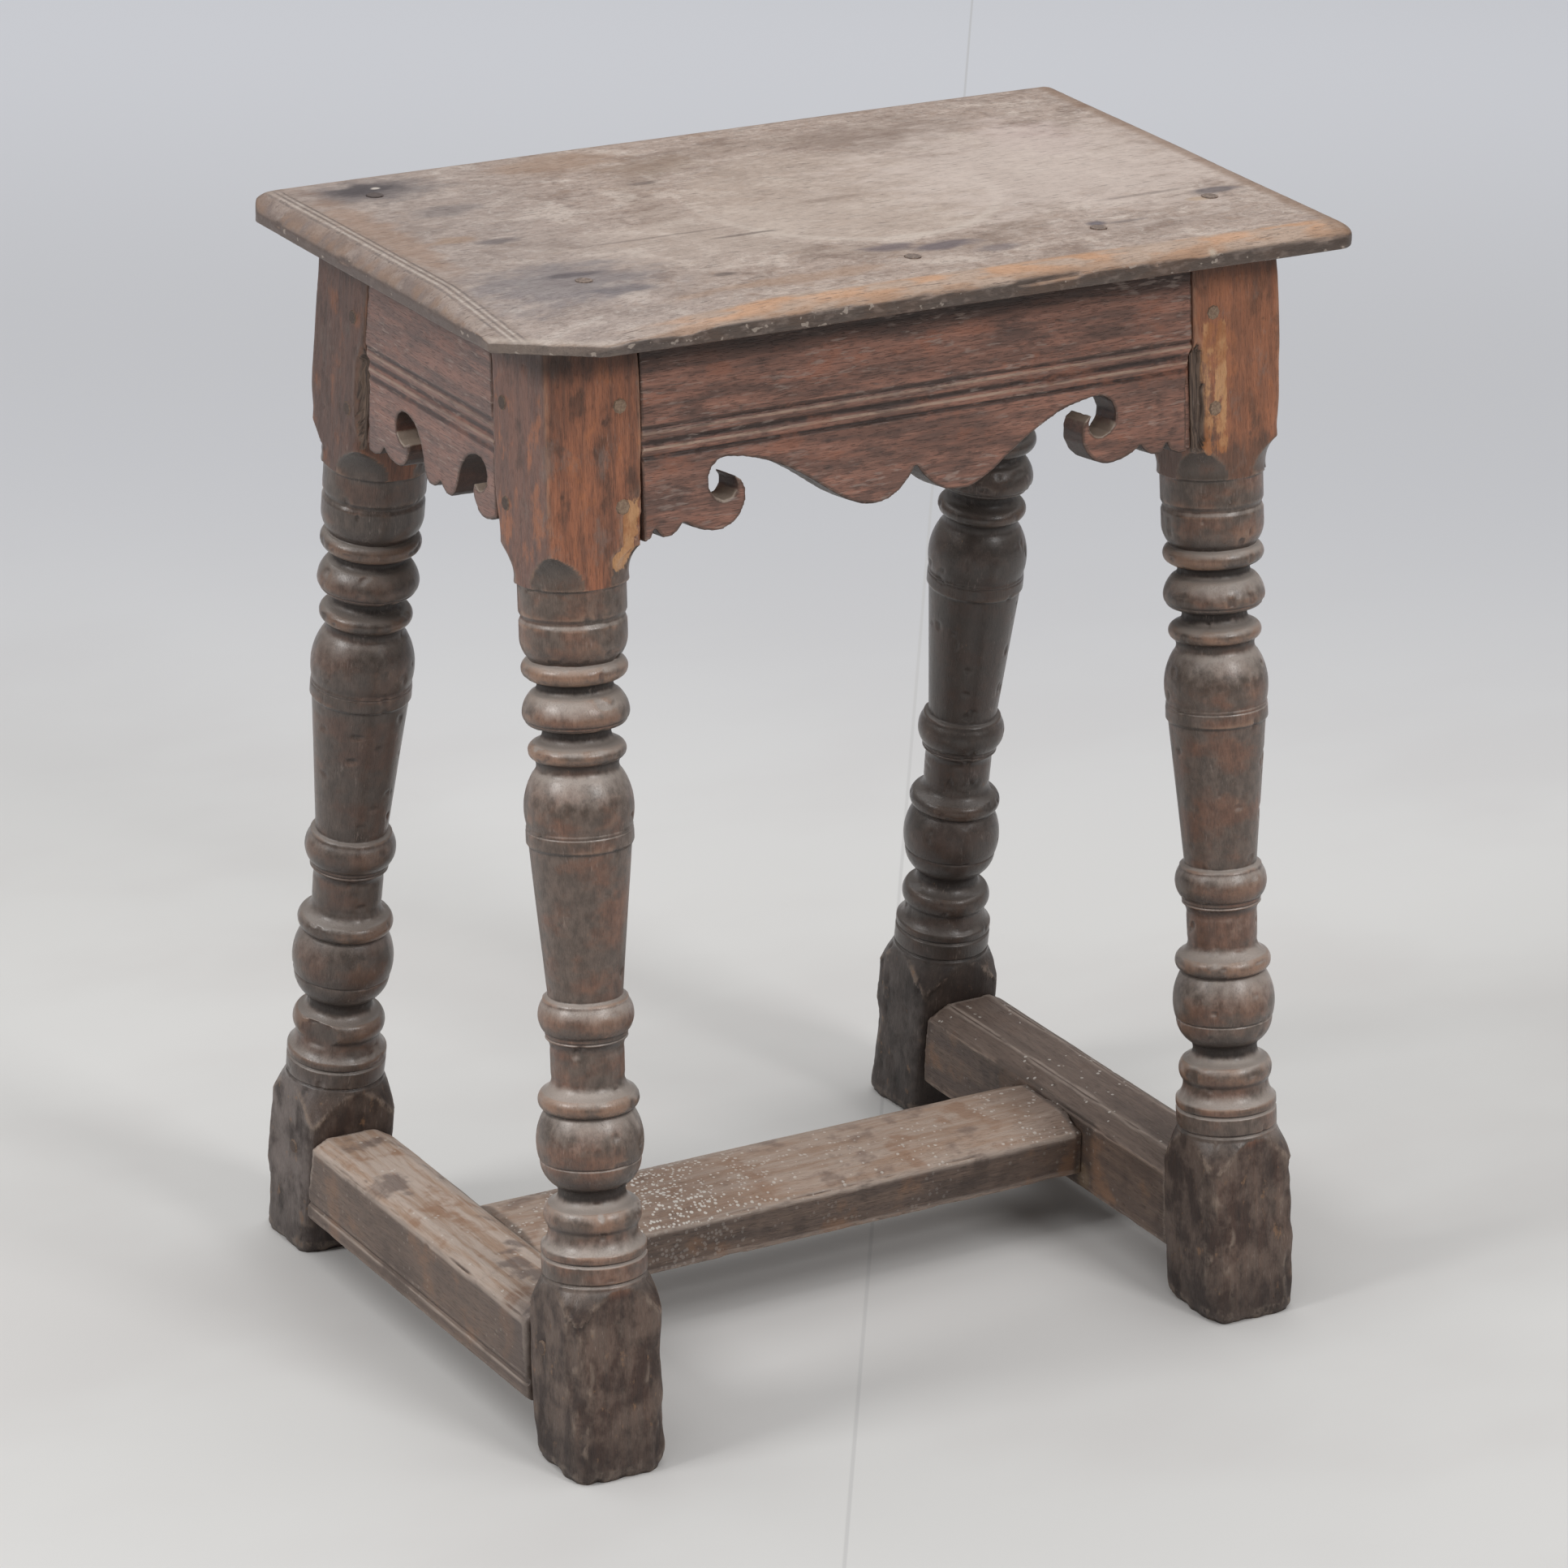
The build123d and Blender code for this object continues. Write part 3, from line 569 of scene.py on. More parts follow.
def turned_leg(name, end, side, seed):
    """One leg: turned rows round its middle, squared where the blocks are."""
    angle, height = np.meshgrid(turn_angle, height_of_row)
    radius = np.repeat(radius_of_row[:, None], leg_columns, axis=1)
    sharpness = np.where(height > 300, 9 + 17 * ease(height, 452, 476), 7.0)
    arris = np.abs(np.cos(angle)) ** sharpness + np.abs(np.sin(angle)) ** sharpness
    square = half_side / arris ** (1 / sharpness)
    blocky = (square < radius).ravel()
    radius = np.minimum(radius, square)
    points = np.stack([radius * np.cos(angle), radius * np.sin(angle), height * lean], -1)
    points, radius, height = points.reshape(-1, 3), radius.ravel(), height.ravel()
    push, bare = worn_leg(name, side, points, radius, height, blocky, seed)
    points[:, :2] *= (1 + push / radius)[:, None]
    axes, origin = leg_axes(end, side)
    fall = points[:, 0] * axes[0, 2] + points[:, 1] * axes[1, 2]
    top = (frame_height - fall) / axes[2, 2] - frame_height * lean
    bottom = -fall / axes[2, 2]
    points[:, 2] += top * ease(height, 500, 550) + bottom * ease(height, 40, 0)
    timber = points[:, [2, 0, 1]] + seed * 211.0
    world, split = splintered(name, points @ axes + origin)
    count = leg_rows * leg_columns
    grid = np.arange(count).reshape(leg_rows, leg_columns)
    beside = np.roll(grid, -1, axis=1)
    faces = np.stack([grid[:-1], beside[:-1], beside[1:], grid[1:]], -1).reshape(-1, 4)
    ends = np.stack([world[grid[0]].mean(0), world[grid[-1]].mean(0)])
    world = np.vstack([world, ends])
    timber = np.vstack([timber, timber[grid[0]].mean(0), timber[grid[-1]].mean(0)])
    foot_faces = [(count, beside[0, k], grid[0, k]) for k in range(leg_columns)]
    top_faces = [(count + 1, grid[-1, k], beside[-1, k]) for k in range(leg_columns)]
    piece_name = f"turned_leg_{name}"
    mesh = bpy.data.meshes.new(piece_name)
    mesh.from_pydata(world * mm, [], faces.tolist() + foot_faces + top_faces)
    groove = np.repeat(groove_of_row, leg_columns) * ~blocky
    lathe_turned = ~blocky | ((height > foot_top + 4) & (height < block_bottom))
    marks = {"groove": groove, "round": lathe_turned, "bare": bare, "split": split}
    for what, values in marks.items():
        mark(mesh, what, np.append(values, [0, 0]).astype(float))
    timber_piece(piece_name, mesh, timber, f"leg_{name}", leg_oak)


for number, (name, (end, side)) in enumerate(corners.items()):
    turned_leg(name, end, side, 3 + number * 29)


# ---- Stretchers ------------------------------------------------------------
# Three oak rails in an H low down: one at each end, tenoned into the feet,
# and a middle one between them. Feet have worn their top edges away.
rail_face = 161  # where the middle rail meets the end ones


def modified(work):
    """The mesh that an object's modifiers make of it."""
    graph = bpy.context.evaluated_depsgraph_get()
    return bpy.data.meshes.new_from_object(work.evaluated_get(graph))


def sawn_board(name, node, axes, voxel, ease_rounds, shape, finish, seed, cuts=()):
    """A board from its CAD solid, with softened edges and a worked surface.

    Its local x runs along the grain. It stays inside the CAD solid's own box.
    """
    turn = Matrix(axes.tolist()).to_4x4()
    work = put("work", nodes[node].data.copy())
    work.data.transform(turn)
    remesh = work.modifiers.new("cut", "REMESH")
    remesh.mode = "VOXEL"
    remesh.voxel_size = voxel * mm
    soften = work.modifiers.new("soften", "SMOOTH")
    soften.factor = 0.5
    soften.iterations = ease_rounds
    mesh = modified(work)
    local = read(mesh, "co") / mm
    given = read(nodes[node].data, "co") / mm @ axes.T
    local = shape(local, read(mesh, "normal"), relief(mesh, 10), seed)
    local = np.clip(local, given.min(axis=0), given.max(axis=0))
    mesh.vertices.foreach_set("co", (local * mm).astype(np.float32).ravel())
    for cut in cuts:
        work.modifiers.clear()
        work.data = mesh
        groove = work.modifiers.new("groove", "BOOLEAN")
        groove.operation = "DIFFERENCE"
        groove.solver = "MANIFOLD"
        groove.object = cut
        mesh = modified(work)
        bpy.data.objects.remove(cut)
    bpy.data.objects.remove(work)
    local = read(mesh, "co") / mm
    mesh.transform(turn.inverted())
    mesh.name = name
    return timber_piece(name, mesh, local + seed * 97.0, node, finish)


def worked(local, normal, proud, seed):
    """Plane and scraper marks along the grain, dents, and worn edges."""
    push = rough(local, (80, 40, 40), seed) * 0.25
    push += rough(local, (28, 1.6, 1.6), seed + 3) * 0.11
    push -= ease(rough(local, (12, 6, 6), seed + 7), 0.45, 0.8) * 0.35
    edge = ease(proud, 0.12, 0.5)
    push -= edge * ease(rough(local, (16, 7, 7), seed + 11, 3), -0.1, 0.7) * 0.9
    return local + normal * push[:, None]


def trodden(local, normal, proud, seed):
    """As worked, and more worn away along the top edges."""
    local = worked(local, normal, proud, seed)
    top = ease(normal[:, 2], 0.2, 0.7) * ease(proud, 0.03, 0.3)
    push = top * ease(rough(local, (22, 9, 9), seed + 19, 3), -0.3, 0.7) * 1.6
    return local - normal * push[:, None]


def stretcher_finish():
    """Oak that shoes have worn pale on top, with chalky splashes."""
    finish = oak(
        "stretcher_oak",
        heart=(112, 94, 83), deep=(94, 80, 73), pale=(132, 112, 99),
        worn=(176, 156, 142), grime=(62, 52, 47), pore_share=0.45, soot=0.45, dull=0.1,
    )
    place = finish.place()
    across, along, _ = finish.parts(place)
    looks_up = finish.facing()[2]
    top = finish.ease(looks_up, 0.35, 0.85)
    patch = finish.noise(place, (34, 34, 34), detail=4, roughness=0.6)
    paled = finish.mix((186, 156, 134), (208, 189, 175), finish.ease(finish.streak, 0.36, 0.6))
    paled = finish.mix(paled, (166, 126, 98), finish.ease(patch, 0.54, 0.64) * 0.75)
    paled = finish.mix(paled, (108, 94, 90), finish.ease(patch, 0.46, 0.36) * 0.7)
    # Pale wear on the tops, held back on the right rail, whose top stays darker as painted shadow
    # of the seat.
    left = finish.ease(across, 165, 120)
    finish.paint(paled, top * (0.08 + left * 0.77) * (1 - finish.hollow * 0.8))
    finish.paint((150, 112, 84), (1 - top) * finish.ease(patch, 0.54, 0.66) * 0.5)
    finish.paint((64, 54, 50), (1 - top) * finish.ease(patch, 0.47, 0.36) * 0.5)
    near_leg = finish.ease(along, -70, -110) * finish.ease(across, -140, -170)
    finish.paint((74, 66, 66), near_leg * finish.ease(finish.cloud, 0.4, 0.6) * 0.6)
    outer = (1 - top) * finish.ease(across, -150, -180)
    finish.paint((134, 118, 108), outer * 0.3)
    chipped = finish.spot(place, (162.5, -40, 30), (7, 9, 12), (patch - 0.5) * 1.5)
    finish.paint((178, 150, 120), chipped * 0.8)
    line = finish.ease(finish.proud, 0.04, 0.2) * finish.ease(looks_up, -0.2, 0.2)
    line = line * finish.ease(abs(along), 116, 110)
    line = line * (1 - finish.lines(abs(across), [rail_face], 4, 2))
    finish.paint((196, 180, 168), line * finish.ease(patch, 0.3, 0.5) * 0.5)
    middle = finish.ease(abs(along), 60, 50) * finish.ease(abs(across), 165, rail_face)
    finish.paint((144, 118, 100), middle * top * 0.4)
    # Painted shadow of the seat on the right rail's top.
    right = finish.ease(across, 155, 162)
    finish.paint((96, 82, 75), right * top * 0.22)
    tip = finish.ease(abs(along), 108, 116)
    joint = finish.lines(abs(across), [rail_face], 5, 2) * finish.ease(abs(along), 50, 44)
    tip = finish.most(tip, joint)
    finish.paint((62, 53, 48), tip * finish.ease(patch, 0.3, 0.5) * 0.6)
    # White splashes: specks of limewash, thickest at the left.
    splash = finish.ease(across, -5, -75) * finish.ease(across, -150, -105) * middle
    few = finish.ease(finish.noise(place, (40, 30, 30), detail=2), 0.4, 0.65)
    finish.paint((104, 82, 68), splash * top * 0.4)
    cell_size = 2.1
    cells = finish.stretch(place, [1 / cell_size] * 3)
    dot = finish.add("ShaderNodeTexVoronoi", inputs={"Vector": cells, "Scale": 1.0})
    chance, girth, _ = finish.parts(Wire(finish, dot.socket.node.outputs["Color"]))
    size = 0.2 + girth * 0.3
    share = splash * 0.66 + few * 0.1 + few * middle * 0.26
    white = finish.ease(dot - size, 0.06, -0.06) * finish.ease(chance + share, 1.0, 1.02)
    white = white * (0.2 + top * 0.8)
    finish.paint((222, 216, 208), white * (0.55 + splash * 0.35))
    finish.set(Base_Color=finish.colour)
    return finish


stretcher_oak = stretcher_finish()
end_rail_axes = np.array([[0, 1, 0], [-1, 0, 0], [0, 0, 1]], float)
level_axes = np.eye(3)
for name, seed in {"left": 11, "right": 12}.items():
    sawn_board(
        f"worn_stretcher_{name}", f"stretcher_{name}", end_rail_axes, voxel=1.0,
        ease_rounds=2, shape=trodden, finish=stretcher_oak, seed=seed,
    )
sawn_board(
    "worn_stretcher_middle", "stretcher_middle", level_axes, voxel=1.1,
    ease_rounds=2, shape=trodden, finish=stretcher_oak, seed=13,
)


# ---- Aprons ----------------------------------------------------------------
# Four oak boards under the seat, run with two reeds and sawn along the bottom
# in scrolls, hooks and pierced eyes. Each end has a tenon with two pegs.
def apron_finish():
    """Reddish brown oak, dusty in the grain, with painted highlights on the reeds and painted
    shade in the quirks.
    """
    finish = oak(
        "rail_oak",
        heart=(158, 112, 95), deep=(114, 86, 76), pale=(184, 138, 119),
        worn=(150, 116, 98), grime=(60, 47, 43), soot=0.45,
    )
    drop = finish.given("reeding")
    light = finish.lines(drop, (0.7, -6.8), 1.0, 0.3)
    quirk_shade = finish.lines(drop, (3.4, -11.0), 1.5, 0.6)
    quirk_shade = finish.most(quirk_shade, finish.lines(drop, [-3.8], 1.3, 0.5))
    turned_out = finish.given("outside")
    outside = finish.ease(turned_out, 0.2, 0.5)
    # Painted shade in the quirks beside the reeds.
    finish.paint((52, 40, 36), quirk_shade * outside * 0.75)
    # Painted highlight along the reeds, broken up by the streaks.
    reed_streak = finish.ease(finish.streak, 0.34, 0.6)
    finish.paint((190, 162, 142), light * outside * (0.3 + reed_streak * 0.5))
    place = finish.place()
    height, facing = finish.parts(place)[2], finish.facing()
    blotch = finish.noise(place, (26, 26, 13), detail=5, roughness=0.65)
    finish.paint((164, 106, 82), finish.ease(blotch, 0.54, 0.68) * 0.45)
    finish.paint((76, 62, 58), finish.ease(blotch, 0.47, 0.34) * 0.5)
    # Painted shadow under the seat.
    finish.paint((46, 36, 33), finish.ease(height, seat_shadow_line, 538) * 0.85)
    left_side_light = finish.ease(facing[0], -0.6, -0.9)
    # Painted light: the left-facing faces greyer.
    finish.paint((126, 114, 113), left_side_light * 0.35)
    clear = finish.ease(abs(drop + 4), 9, 12)
    sawn = finish.ease(finish.proud, 0.1, 0.3) * clear * outside
    finish.paint((74, 57, 50), sawn * 0.6)
    # Painted shade on the sawn edges that look sideways or down.
    edge = finish.ease(abs(turned_out), 0.7, 0.4)
    finish.paint((50, 39, 35), edge * finish.ease(facing[2], 0.4, 0.0) * 0.7)
    # Painted light on faces that look up, painted shade on faces that look down.
    finish.paint((192, 176, 160), finish.ease(facing[2], 0.25, 0.7) * clear * 0.75)
    finish.paint((38, 30, 27), finish.ease(facing[2], -0.2, -0.7) * clear * 0.75)
    where = finish.ease(finish.cloud, 0.6, 0.42)
    dusted(finish, where * 0.55 * (1 - edge), 1.9)
    finish.set(Base_Color=finish.colour)
    return finish


apron_oak = apron_finish()


def carved(local, normal, proud, seed):
    """As worked, with saw marks left in the scrolled edge."""
    local = worked(local, normal, proud, seed)
    edge = ease(np.abs(normal[:, 2]) + np.abs(normal[:, 0]), 0.5, 0.9)
    push = rough(local, (2.2, 30, 2.2), seed + 23) * 0.18 * edge
    return local + normal * push[:, None]


def rail_axes(out_x, out_y):
    """Along the rail, into the board and up its slope, as rows."""
    slope = rake if out_y else splay
    deep = -Vector((out_x, out_y, slope)).normalized()
    along = Vector((-out_y, out_x, 0))
    return np.array([along, deep, along.cross(deep)])


for name, (out_x, out_y), seed, upper_reed in (
    ("front", (0, -1), 21, 485.5),
    ("back", (0, 1), 22, 485.5),
    ("left", (-1, 0), 23, 496.2),
    ("right", (1, 0), 24, 496.2),
):
    axes = rail_axes(out_x, out_y)
    apron = sawn_board(
        f"scrolled_apron_{name}", f"apron_{name}", axes, voxel=0.8,
        ease_rounds=1, shape=carved, finish=apron_oak, seed=seed,
    )
    turned_to = read(apron.data, "normal") @ axes.T
    mark(apron.data, "outside", -turned_to[:, 1])
    mark(apron.data, "reeding", (read(apron.data, "co") / mm @ axes.T)[:, 2] - upper_reed)


# ---- Pegs ------------------------------------------------------------------
# Riven oak pegs, whittled and driven into the joints; their end grain shows a
# little proud of the leg faces.
peg_oak = Finish("peg_oak")
place = peg_oak.place()
grain = peg_oak.noise(place, (1.2, 1.2, 1.2), detail=3)
tone = peg_oak.mix((124, 99, 81), (156, 132, 110), peg_oak.ease(grain, 0.3, 0.7))
# Painted shade: pegs in the left-facing faces darker.
sideways = peg_oak.ease(peg_oak.facing()[0], -0.5, -0.9)
tone = peg_oak.mix(tone, (64, 53, 50), sideways * 0.85)
peg_oak.set(Base_Color=tone, Roughness=0.6)
peg_oak.set(Normal=peg_oak.bump(grain * 0.3))
for name, node in nodes.items():
    if name.startswith("pegs_"):
        peg_oak.cover(node.data)


# ---- Seat ------------------------------------------------------------------
# One wide oak board with a thumb-moulded edge, its front left corner broken
# off and worn down. It is stained by iron, water and handling.
seat_thickness = 13.5
seat_top = frame_height + seat_thickness
scored_at, chalked_at = (-222.0, -218.4, -215.0), (-220.2, -216.7)
stains = [
    # middle, radii, tone, strength
    ((100, 88), (70, 34), (140, 120, 108), 0.6),
    ((-35, 88), (34, 22), (144, 120, 102), 0.55),
    ((-75, 112), (46, 20), (164, 134, 112), 0.6),
    ((112, -8), (13, 44), (146, 124, 110), 0.5),
    ((166, 48), (34, 44), (196, 170, 167), 0.5),
    ((140, 0), (130, 110), (214, 198, 188), 0.75),
    ((-60, -30), (120, 60), (202, 186, 174), 0.4),
    ((-176, 108), (44, 26), (112, 104, 104), 0.75),
    ((-178, 112), (24, 13), (70, 63, 66), 0.85),
    ((-172, 112.5), (3.4, 2.6), (214, 204, 194), 0.9),
    ((-160, 62), (26, 12), (120, 112, 112), 0.5),
    ((-206, 40), (16, 90), (160, 126, 102), 0.5),
    ((-130, 146), (90, 13), (156, 122, 98), 0.6),
    ((-70, -108), (80, 9), (168, 134, 108), 0.5),
    ((-162.4, 7.6), (15, 6), (98, 90, 92), 0.7),
    ((-181, 17), (15, 7), (164, 134, 110), 0.6),
    ((-168, -66), (64, 40), (118, 112, 116), 0.65),
    ((-157.4, -56.8), (22, 5), (92, 84, 88), 0.75),
    ((-150, -86), (26, 7), (104, 98, 104), 0.6),
    ((-52.1, 63.5), (9, 4), (96, 82, 76), 0.6),
    ((-93.5, -86.9), (8, 4), (98, 86, 80), 0.7),
    ((-52.8, -34.2), (26, 2.2), (112, 98, 90), 0.7),
    ((-95, -20), (60, 2.0), (116, 102, 94), 0.5),
    ((-2.8, -82.9), (18, 8), (104, 92, 97), 0.75),
    ((22.8, -91.5), (22, 9), (98, 88, 95), 0.8),
    ((44, -105), (16, 7), (112, 102, 106), 0.6),
    ((108.6, -92.1), (7, 5), (86, 80, 90), 0.85),
    ((124, -95), (16, 2.6), (112, 102, 100), 0.6),
    ((193, -69), (19, 7), (92, 84, 88), 0.8),
    ((178, -78), (9, 4), (190, 164, 138), 0.7),
    ((158, -60), (30, 3), (118, 102, 96), 0.5),
    ((20, 0), (30, 3.5), (140, 120, 108), 0.5),
]


def seat_finish():
    """Grey-tan oak with iron and water stains, and an orange, rubbed moulding."""
    finish = oak(
        "seat_oak",
        heart=(186, 166, 154), deep=(150, 130, 119), pale=(202, 184, 172),
        worn=(198, 176, 158), grime=(118, 104, 99), pore_share=0.4,
    )
    place = finish.place()
    across, back, _ = finish.parts(place)
    wobble = (finish.noise(place, (24, 12, 12), detail=4, roughness=0.6) - 0.5) * 1.5
    # Scrubbed oak, mottled from large to small, and greyer to the left.
    blotch = finish.noise(place, (34, 24, 20), detail=6, roughness=0.62, distortion=0.6)
    swirl = finish.noise(place, (16, 10, 12), detail=6, roughness=0.7, distortion=1.2)
    speck = finish.noise(place, (2.6, 1.6, 2), detail=3, roughness=0.7)
    grit = finish.noise(place, (4.5, 3, 3), detail=4, roughness=0.7)
    finish.paint((190, 171, 159), 0.55)
    for tone, where, low, high, strength in (
        ((212, 196, 184), blotch, 0.52, 0.64, 0.75),
        ((140, 119, 107), blotch, 0.47, 0.34, 0.7),
        ((158, 128, 106), swirl, 0.54, 0.68, 0.4),
        ((222, 212, 202), swirl, 0.44, 0.33, 0.4),
        ((120, 104, 96), speck, 0.53, 0.68, 0.5),
        ((132, 108, 92), grit, 0.52, 0.68, 0.45),
        ((220, 208, 198), grit, 0.46, 0.32, 0.4),
        ((156, 148, 146), across, -60, -170, 0.3),
    ):
        finish.paint(tone, finish.ease(where, low, high) * strength)
    # The ring that a wet bowl left.
    ring = finish.vector("SUBTRACT", place, (24, 4.5, seat_top))
    ring = finish.vector("LENGTH", ring, output="Value") + wobble * 4
    inner = finish.ease(ring, 84, 66)
    finish.paint((196, 178, 164), inner * 0.45)
    finish.paint((142, 122, 108), finish.ease(abs(ring - 98), 15, 4) * 0.3)
    front = finish.ease(back, 40, -30)
    finish.paint((212, 198, 186), finish.ease(abs(ring - 76), 5, 1) * front * 0.6)
    for middle, radii, tone, strength in stains:
        reach = finish.spot(place, (*middle, seat_top), (*radii, 60), wobble)
        finish.paint(tone, reach * strength)
    dash = finish.noise(place, (11, 1.0, 1.0), detail=2, roughness=0.6)
    checks = finish.ease(dash, 0.6, 0.68)
    finish.paint((84, 72, 68), checks * 0.45)
    patch = finish.noise(place, (30, 7, 10), detail=3)
    orange = finish.mix((182, 156, 136), (202, 152, 112), finish.ease(patch, 0.42, 0.62))
    # The moulded rims: orange in front, grey at the left, brown at the far sides.
    rim = finish.ease(back + across * 0.0165, -128.5, -132.5)
    finish.paint(orange, rim * finish.ease(across, -190, -110) * 0.75)
    left_rim = finish.ease(across, -210, -216)
    finish.paint((146, 126, 112), left_rim * finish.ease(blotch, 0.3, 0.6) * 0.6)
    finish.paint((108, 94, 86), left_rim * finish.ease(swirl, 0.54, 0.66) * 0.5)
    ruled = finish.lines(across, chalked_at, 1.0, 0.3)
    ruled = ruled * finish.ease(abs(back), 130, 110) * finish.ease(swirl, 0.36, 0.56)
    finish.paint((214, 204, 194), ruled * 0.5)
    scored = finish.lines(across, scored_at, 0.9, 0.35) * finish.ease(abs(back), 134, 124)
    finish.paint((98, 90, 88), scored * finish.ease(swirl, 0.66, 0.4) * 0.6)
    far_rim = finish.most(finish.ease(back, 128, 135), finish.ease(across - back * 0.04, 212, 218))
    finish.paint((142, 112, 90), far_rim * 0.6)
    finish.paint((96, 82, 76), checks * finish.most(rim, left_rim) * 0.6)
    # The edge: dull, chipped and chalky, paler at the broken corner, whose lip carries a painted
    # highlight.
    looks_up = finish.facing()[2]
    edge = finish.ease(looks_up, 0.75, 0.3)
    chalk = finish.ease(finish.noise(place, (6, 6, 3), detail=3), 0.5, 0.7)
    dull = finish.mix((64, 54, 50), (104, 92, 86), chalk)
    dull = finish.mix(dull, (114, 101, 96), left_rim * 0.6)
    corner = finish.ease(across * 0.55 + back * 0.835, -211.8, -216.8)
    dull = finish.mix(dull, (128, 114, 104), corner * finish.ease(swirl, 0.3, 0.6) * 0.8)
    finish.paint(dull, edge * 0.88)
    rolled = finish.ease(looks_up, 0.985, 0.8) * left_rim * (1 - edge)
    finish.paint((122, 108, 104), rolled * finish.ease(blotch, 0.34, 0.6) * 0.7)
    # Pale worn wood on the broken corner's lip, with a painted highlight.
    finish.paint((196, 182, 170), corner * (1 - edge) * 0.45)
    lip = finish.ease(looks_up, 0.96, 0.75) * (1 - edge)
    finish.paint((150, 122, 102), lip * finish.ease(patch, 0.4, 0.6) * 0.6)
    flake = finish.noise(place, (5, 5, 4), detail=2)
    finish.paint((186, 172, 160), finish.ease(flake, 0.66, 0.7) * edge * 0.6)
    nicks = finish.most(
        finish.spot(place, (33, -149, 558), (4, 6, 6)),
        finish.spot(place, (140, -147, 560), (4, 6, 5)),
    )
    finish.paint((204, 190, 172), nicks * 0.8)
    finish.set(Base_Color=finish.colour)
    return finish


seat_oak = seat_finish()
seat_points = np.unique(np.round(read(nodes["seat_board"].data, "co")[:, :2] / mm), axis=0)
seat_outline = seat_points[convex_hull_2d(seat_points.tolist())]


def seat_surface(local, normal, proud, seed):
    """Scraped top with long grain ridges, and a bruised, rounded edge."""
    top = local[:, 2].max()
    depth = inside(seat_outline, local[:, 0], local[:, 1])
    clipped = ease(local[:, :2] @ (0.55, 0.835) + 219.8, 30, 8)
    left = ease(local[:, 0], -212, -222) * (1 - clipped)
    drop, width = 4.6 + 2.6 * left - 4.0 * clipped, 9 + 4 * left
    fall = drop * (1 - np.sqrt(1 - np.clip(1 - depth / width, 0, 1) ** 2))
    local[:, 2] -= fall * np.clip((local[:, 2] - top) / seat_thickness + 1, 0, 1)
    push = rough(local, (120, 60, 60), seed) * 0.3 - 0.35
    push += rough(local, (60, 2.2, 2.2), seed + 3) * 0.1
    push -= ease(rough(local, (14, 8, 8), seed + 7), 0.5, 0.85) * 0.4
    over = ease(normal[:, 2], -0.45, 0.1) * (1 - 0.6 * clipped)
    wear = ease(rough(local, (20, 10, 10), seed + 11, 3), 0.0, 0.7) * 0.8
    push -= ease(proud, 0.1, 0.6) * wear * over
    chip = ease(rough(local, (18, 9, 9), seed + 17, 2), 0.2, 0.8)
    push -= ease(proud, 0.05, 0.4) * chip * 1.1 * over
    local = local + normal * push[:, None]
    # The back left corner is worn to a larger radius than the others.
    worn_round = 24.0
    middle = np.array([seat_outline[:, 0].min(), seat_outline[:, 1].max()])
    middle += (worn_round, -worn_round)
    beyond = local[:, :2] - middle
    reach = np.hypot(beyond[:, 0], beyond[:, 1])
    past = (beyond[:, 0] < 0) & (beyond[:, 1] > 0) & (reach > worn_round)
    local[past, :2] = middle + beyond[past] * (worn_round / reach[past])[:, None]
    return local


def scratch(start, end, width, depth):
    """Blade that cuts a straight V groove between two places on the seat."""
    start, end = np.array(start, float), np.array(end, float)
    side = (end - start)[::-1] * (-1, 1) / np.hypot(*(end - start)) * width / 2
    over = 2.0
    spread = 1 + over / depth
    corners_of = []
    for place in (start, end):
        corners_of.append((*(place - side * spread), seat_top + over))
        corners_of.append((*(place + side * spread), seat_top + over))
        corners_of.append((*place, seat_top - depth))
    blade = bpy.data.meshes.new("blade")
    faces = [(0, 1, 2), (5, 4, 3), (0, 3, 4, 1), (1, 4, 5, 2), (2, 5, 3, 0)]
    blade.from_pydata([Vector(c) * mm for c in corners_of], [], faces)
    return put("blade", blade)


scratches = [
    scratch((scored_at[0], -121), (-221.6, 122), 1.2, 0.7),
    scratch((scored_at[1], -124), (-218.2, 124), 1.0, 0.6),
    scratch((scored_at[2], -125), (-214.8, 125), 1.2, 0.7),
    scratch((-200, -124.6), (212, -131.4), 1.0, 0.6),
    scratch((-120, -119.8), (216, -126.0), 0.9, 0.45),
]
sawn_board(
    "moulded_seat", "seat_board", level_axes, voxel=1.4, ease_rounds=4,
    shape=seat_surface, finish=seat_oak, seed=31, cuts=scratches,
)

# ---- Nails -----------------------------------------------------------------
# Five forged iron nails that hold the seat down, driven through it into the
# aprons and the leg blocks. Their heads are sunk a little, rusted and rubbed.
nail_iron = Finish("nail_iron")
place = nail_iron.place()
scale = nail_iron.noise(place, (1.5, 1.5, 1.5), detail=4)
tone = nail_iron.mix((122, 108, 100), (156, 138, 126), nail_iron.ease(scale, 0.4, 0.65))
across, back, _ = nail_iron.parts(place)
stained = nail_iron.ease(across, -150, -165) * nail_iron.ease(back, 60, 90)
tone = nail_iron.mix(tone, (88, 79, 78), stained * 0.85)
nail_iron.set(Base_Color=tone, Roughness=0.65, Metallic=0.25)
nail_iron.set(Normal=nail_iron.bump(scale * 0.4))
nail_iron.cover(nodes["seat_nails"].data)
